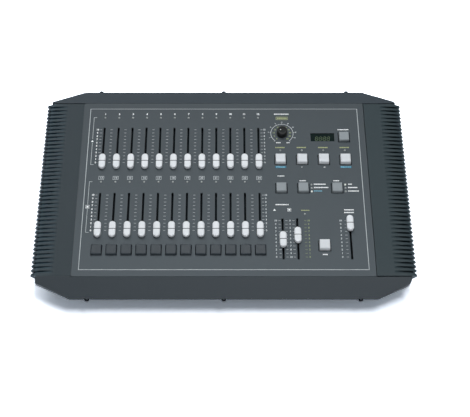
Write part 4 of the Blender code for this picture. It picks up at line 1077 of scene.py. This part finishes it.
def arc_band(radius, width, first, last, steps):
    """A flat band along part of a circle, from one angle to another in degrees."""
    pick(None)
    bpy.ops.mesh.primitive_cube_add(
        size=1.0, location=(radius, 0.0, INK / 2), scale=(width, INK, INK)
    )
    band = bpy.context.object
    bpy.ops.object.transform_apply(location=True, rotation=True, scale=True)
    start_shaping(band)
    choose(band, "verts", lambda vert: vert.co.y < 0)
    bpy.ops.mesh.delete(type="VERT")
    choose(band, "verts", lambda vert: True)
    bpy.ops.transform.translate(value=(0.0, -INK / 2, 0.0))
    bpy.ops.mesh.spin(
        steps=steps, angle=math.radians(last - first), center=(0.0, 0.0, 0.0), axis=(0.0, 0.0, 1.0)
    )
    bpy.ops.mesh.select_all(action="SELECT")
    bpy.ops.mesh.fill_holes(sides=4)
    bpy.ops.mesh.normals_make_consistent(inside=False)
    stop_shaping()
    band.rotation_euler = (0.0, 0.0, math.radians(last))
    pick(band)
    bpy.ops.object.transform_apply(location=True, rotation=True, scale=True)
    return band


def around(radius, angle):
    return radius * math.cos(math.radians(angle)), radius * math.sin(math.radians(angle))


def make_dial():
    """The ring round the knob, open at the front, with ticks and numbers outside and inside it."""
    ring = [arc_band(DIAL_RADIUS, DIAL_LINE, *DIAL_ENDS, 64)]
    for n, label in enumerate(DIAL_LABELS):
        angle = DIAL_FIRST - DIAL_STEP * n
        tick = bar(DIAL_RADIUS + DIAL_TICK_OUT, 0.0, *DIAL_TICK)
        tick.rotation_euler = (0.0, 0.0, math.radians(angle))
        pick(tick)
        bpy.ops.object.transform_apply(location=True, rotation=True, scale=True)
        ring.append(tick)
        x, v = around(DIAL_RADIUS + DIAL_NUMBER_OUT, angle)
        if 0 < n < len(DIAL_LABELS) - 1:
            ring.append(number(label, x, v, DIAL_NUMBER))
    for piece in ring:
        piece.location = (KNOB_X, KNOB_V, 0.0)
        pick(piece)
        bpy.ops.object.transform_apply(location=True, rotation=True, scale=True)
    print_on_panel("dial_ring", ring, SCALE_INK)
    ends_v = KNOB_V - DIAL_WORD_DROP
    ends = word(KNOB_X - 0.0052, ends_v, 0.0060, DIAL_WORD_HEIGHT)
    ends += word(KNOB_X + 0.0078, ends_v, 0.0040, DIAL_WORD_HEIGHT)
    print_on_panel("dial_end_marks", ends, WHITE_INK)
    inner = []
    for n in range(len(DIAL_LABELS)):
        x, v = around(INNER_RADIUS, DIAL_FIRST - DIAL_STEP * n)
        inner.append(number(str(5 * n), KNOB_X + x, KNOB_V + v, INNER_NUMBER))
    print_on_panel("dial_inner_numbers", inner, DIM_YELLOW_INK)


def make_opening_edges():
    """Painted shade: narrow dark lines round the fader slots and beside and in front of the taller
    keys.
    """
    edges = []
    half = FADER_TRAVEL / 2
    slots = [(x, zero_v + half) for x in COLUMNS for zero_v in (SCENE_A_V, SCENE_B_V)]
    slots += [(x, MASTER_V + half) for x in (MASTER_X[0], PRESET_B_X, MASTER_X[3])]
    for x, v in slots:
        edges += frame_marks(x, v, SLOT_WIDTH + SLOT_SHADE_WIDTH, SLOT_LENGTH + SLOT_SHADE_WIDTH, SLOT_SHADE_WIDTH)
    white = [(x, EFFECT_V) for x in MASTER_X] + [(GO_X, GO_V)]
    grey = [(MASTER_X[3], BLACKOUT_V)] + [(x, MODE_V) for x in (*MASTER_X[:2], FLASH_X)]
    for (key_width, key_depth, _), places in ((WHITE_KEY, white), (GREY_KEY, grey)):
        width = key_width + KEY_OPENING
        depth = key_depth + KEY_OPENING
        for x, v in places:
            aside = (width + KEY_SHADE_WIDTH) / 2
            edges += [bar(x + side * aside, v, KEY_SHADE_WIDTH, depth) for side in (-1, 1)]
            edges.append(bar(x, v - (depth + KEY_SHADE_WIDTH) / 2, width + 2 * KEY_SHADE_WIDTH, KEY_SHADE_WIDTH))
    print_on_panel("painted_opening_shade", edges, EDGE_SHADE)


def make_seam_strip():
    """Painted light: the thin frame-coloured strip that closes the seams of the left cheek, beside
    the panel and in front, standing for their lit inner walls in place of the shade in the gaps.
    """
    x, width = STRIP_BESIDE
    size = (width, PANEL_DEPTH - 0.0020, STRIP_THICK)
    beside = add_block("beside", size, (x, PANEL_DEPTH / 2, STRIP_H))
    x, width = STRIP_FRONT
    size = (width, STRIP_FRONT_DEPTH, STRIP_THICK)
    front = add_block("front", size, (x, STRIP_FRONT_V, STRIP_H))
    strip = join_pieces([beside, front])
    strip.name = "left_seam_strip"
    seat_on_panel(strip)
    finish_piece(strip, FRAME_PLASTIC, "console")


def make_socket_contacts():
    """The five gold contacts in the holes of the data socket."""
    contacts = []
    for turn in range(0, 300, 60):
        x, z = around(SOCKET_PIN_CIRCLE, turn)
        pick(None)
        bpy.ops.mesh.primitive_cylinder_add(
            vertices=16,
            radius=CONTACT_RADIUS,
            depth=CONTACT_LENGTH,
            location=(x, 0.0, z),
            rotation=(math.radians(-90), 0.0, 0.0),
        )
        contact = bpy.context.object
        bpy.ops.object.transform_apply(location=True, rotation=True, scale=True)
        start_shaping(contact)
        choose(contact, "faces", lambda face: face.normal.y > 0.9)
        bpy.ops.mesh.inset(thickness=CONTACT_WALL, depth=0.0)
        bpy.ops.mesh.inset(thickness=0.00001, depth=-CONTACT_BORE)
        stop_shaping()
        contacts.append(contact)
    contacts = join_pieces(contacts)
    contacts.name = "data_socket_contacts"
    contacts.location = SOCKET_FACE
    contacts.location.y -= CONTACT_SINK
    pick(contacts)
    bpy.ops.object.transform_apply(location=True, rotation=True, scale=True)
    finish_piece(contacts, CONTACT_GOLD, "console")


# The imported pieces' finishes

def dress_packed_pieces():
    finishes = {
        "top_cover": FRAME_PLASTIC,
        "left_cheek": LEFT_CHEEK_PLASTIC,
        "right_cheek": RIGHT_CHEEK_PLASTIC,
        "control_panel": PANEL_PAINT,
        "base_pan": PAN_PAINT,
        "scene_a_board": BOARD_LAMINATE,
        "scene_b_board": BOARD_LAMINATE,
        "master_board": BOARD_LAMINATE,
        "display_window": SMOKED_ACRYLIC,
        "data_socket": NICKEL,
        "power_socket": SOCKET_BLACK,
    }
    for node, material in finishes.items():
        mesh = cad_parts[node].data
        mesh.materials.clear()
        mesh.materials.append(material)


# Floor, light and camera

def make_floor():
    """A plain white ground, seen brighter by the camera than the light that it throws back,
    and white where it runs off behind the console."""
    pick(None)
    bpy.ops.mesh.primitive_plane_add(size=200.0)
    floor = bpy.context.object
    floor.name = "floor"
    material = bpy.data.materials.new("white_ground")
    material.use_nodes = True
    tree = material.node_tree
    shader = tree.nodes["Principled BSDF"]
    shader.inputs["Roughness"].default_value = 1.0
    shader.inputs["Specular IOR Level"].default_value = 0.0
    path = tree.nodes.new("ShaderNodeLightPath")
    seen = add_node(tree, "ShaderNodeMath", operation="MAXIMUM")
    also = add_node(tree, "ShaderNodeMath", operation="MAXIMUM")
    white = add_node(tree, "ShaderNodeMix", data_type="RGBA")
    white.inputs[6].default_value = GROUND_LIT
    white.inputs[7].default_value = GROUND_SEEN
    tree.links.new(path.outputs["Is Camera Ray"], seen.inputs[0])
    tree.links.new(path.outputs["Is Glossy Ray"], seen.inputs[1])
    tree.links.new(seen.outputs[0], also.inputs[0])
    tree.links.new(path.outputs["Is Transmission Ray"], also.inputs[1])
    tree.links.new(also.outputs[0], white.inputs[0])
    tree.links.new(white.outputs[2], shader.inputs["Base Color"])
    place = tree.nodes.new("ShaderNodeTexCoord")
    length = add_node(tree, "ShaderNodeVectorMath", operation="LENGTH")
    far = add_node(tree, "ShaderNodeMapRange")
    far.inputs["From Min"].default_value, far.inputs["From Max"].default_value = GROUND_FADE
    share = add_node(tree, "ShaderNodeMath", operation="MULTIPLY")
    glow = add_node(tree, "ShaderNodeEmission", Strength=1.0)
    blend = tree.nodes.new("ShaderNodeMixShader")
    output = tree.nodes["Material Output"]
    tree.links.new(place.outputs["Object"], length.inputs[0])
    tree.links.new(length.outputs["Value"], far.inputs["Value"])
    tree.links.new(far.outputs["Result"], share.inputs[0])
    tree.links.new(also.outputs[0], share.inputs[1])
    tree.links.new(share.outputs[0], blend.inputs[0])
    tree.links.new(shader.outputs[0], blend.inputs[1])
    tree.links.new(glow.outputs[0], blend.inputs[2])
    tree.links.new(blend.outputs[0], output.inputs["Surface"])
    floor.data.materials.append(material)


def softbox(name, place, across, along, watts):
    """A soft rectangular light at a place, turned to face the console."""
    pick(None)
    bpy.ops.object.light_add(type="AREA", location=place)
    lamp = bpy.context.object
    lamp.name = name
    lamp.data.shape = "RECTANGLE"
    lamp.data.size = across
    lamp.data.size_y = along
    lamp.data.energy = watts
    toward = Vector(AIM) - Vector(place)
    lamp.rotation_euler = toward.to_track_quat("-Z", "Y").to_euler()


def make_lights():
    world = bpy.data.worlds.new("studio")
    bpy.context.scene.world = world
    world.use_nodes = True
    sky = world.node_tree.nodes["Background"]
    sky.inputs["Color"].default_value = (0.90, 0.96, 1.0, 1.0)
    sky.inputs["Strength"].default_value = 0.165
    softbox("overhead_softbox", (0.19, 0.09, 2.2), 1.80, 0.46, 36.5)
    softbox("left_softbox", (-0.7, 1.2, 1.9), 1.2, 1.2, 12.0)
    softbox("low_front_softbox", (-0.3, -2.6, 0.16), 0.8, 0.28, 16.0)


def make_camera():
    """The photograph's view, worked out from the panel's corners at 470 by 417 pixels."""
    camera = bpy.data.cameras.new("camera")
    camera.sensor_width = 36.0
    camera.lens = 79.277
    camera.shift_x = 0.02383
    viewer = bpy.data.objects.new("camera", camera)
    viewer.location = (0.0, -0.8658, 1.1214)
    viewer.rotation_euler = (0.6636, 0.0, 0.0)
    bpy.context.scene.collection.objects.link(viewer)
    bpy.context.scene.camera = viewer


make_fader_caps()
make_keys()
make_knob()
make_digits()
make_lamps()
make_scale_ticks()
make_scale_numbers()
make_channel_numbers()
make_keyline()
make_row_brackets()
make_row_markers()
make_legend_bars()
make_dial()
make_opening_edges()
make_seam_strip()
make_socket_contacts()
dress_packed_pieces()
make_floor()
make_lights()
make_camera()
bpy.context.scene.view_settings.view_transform = "Standard"
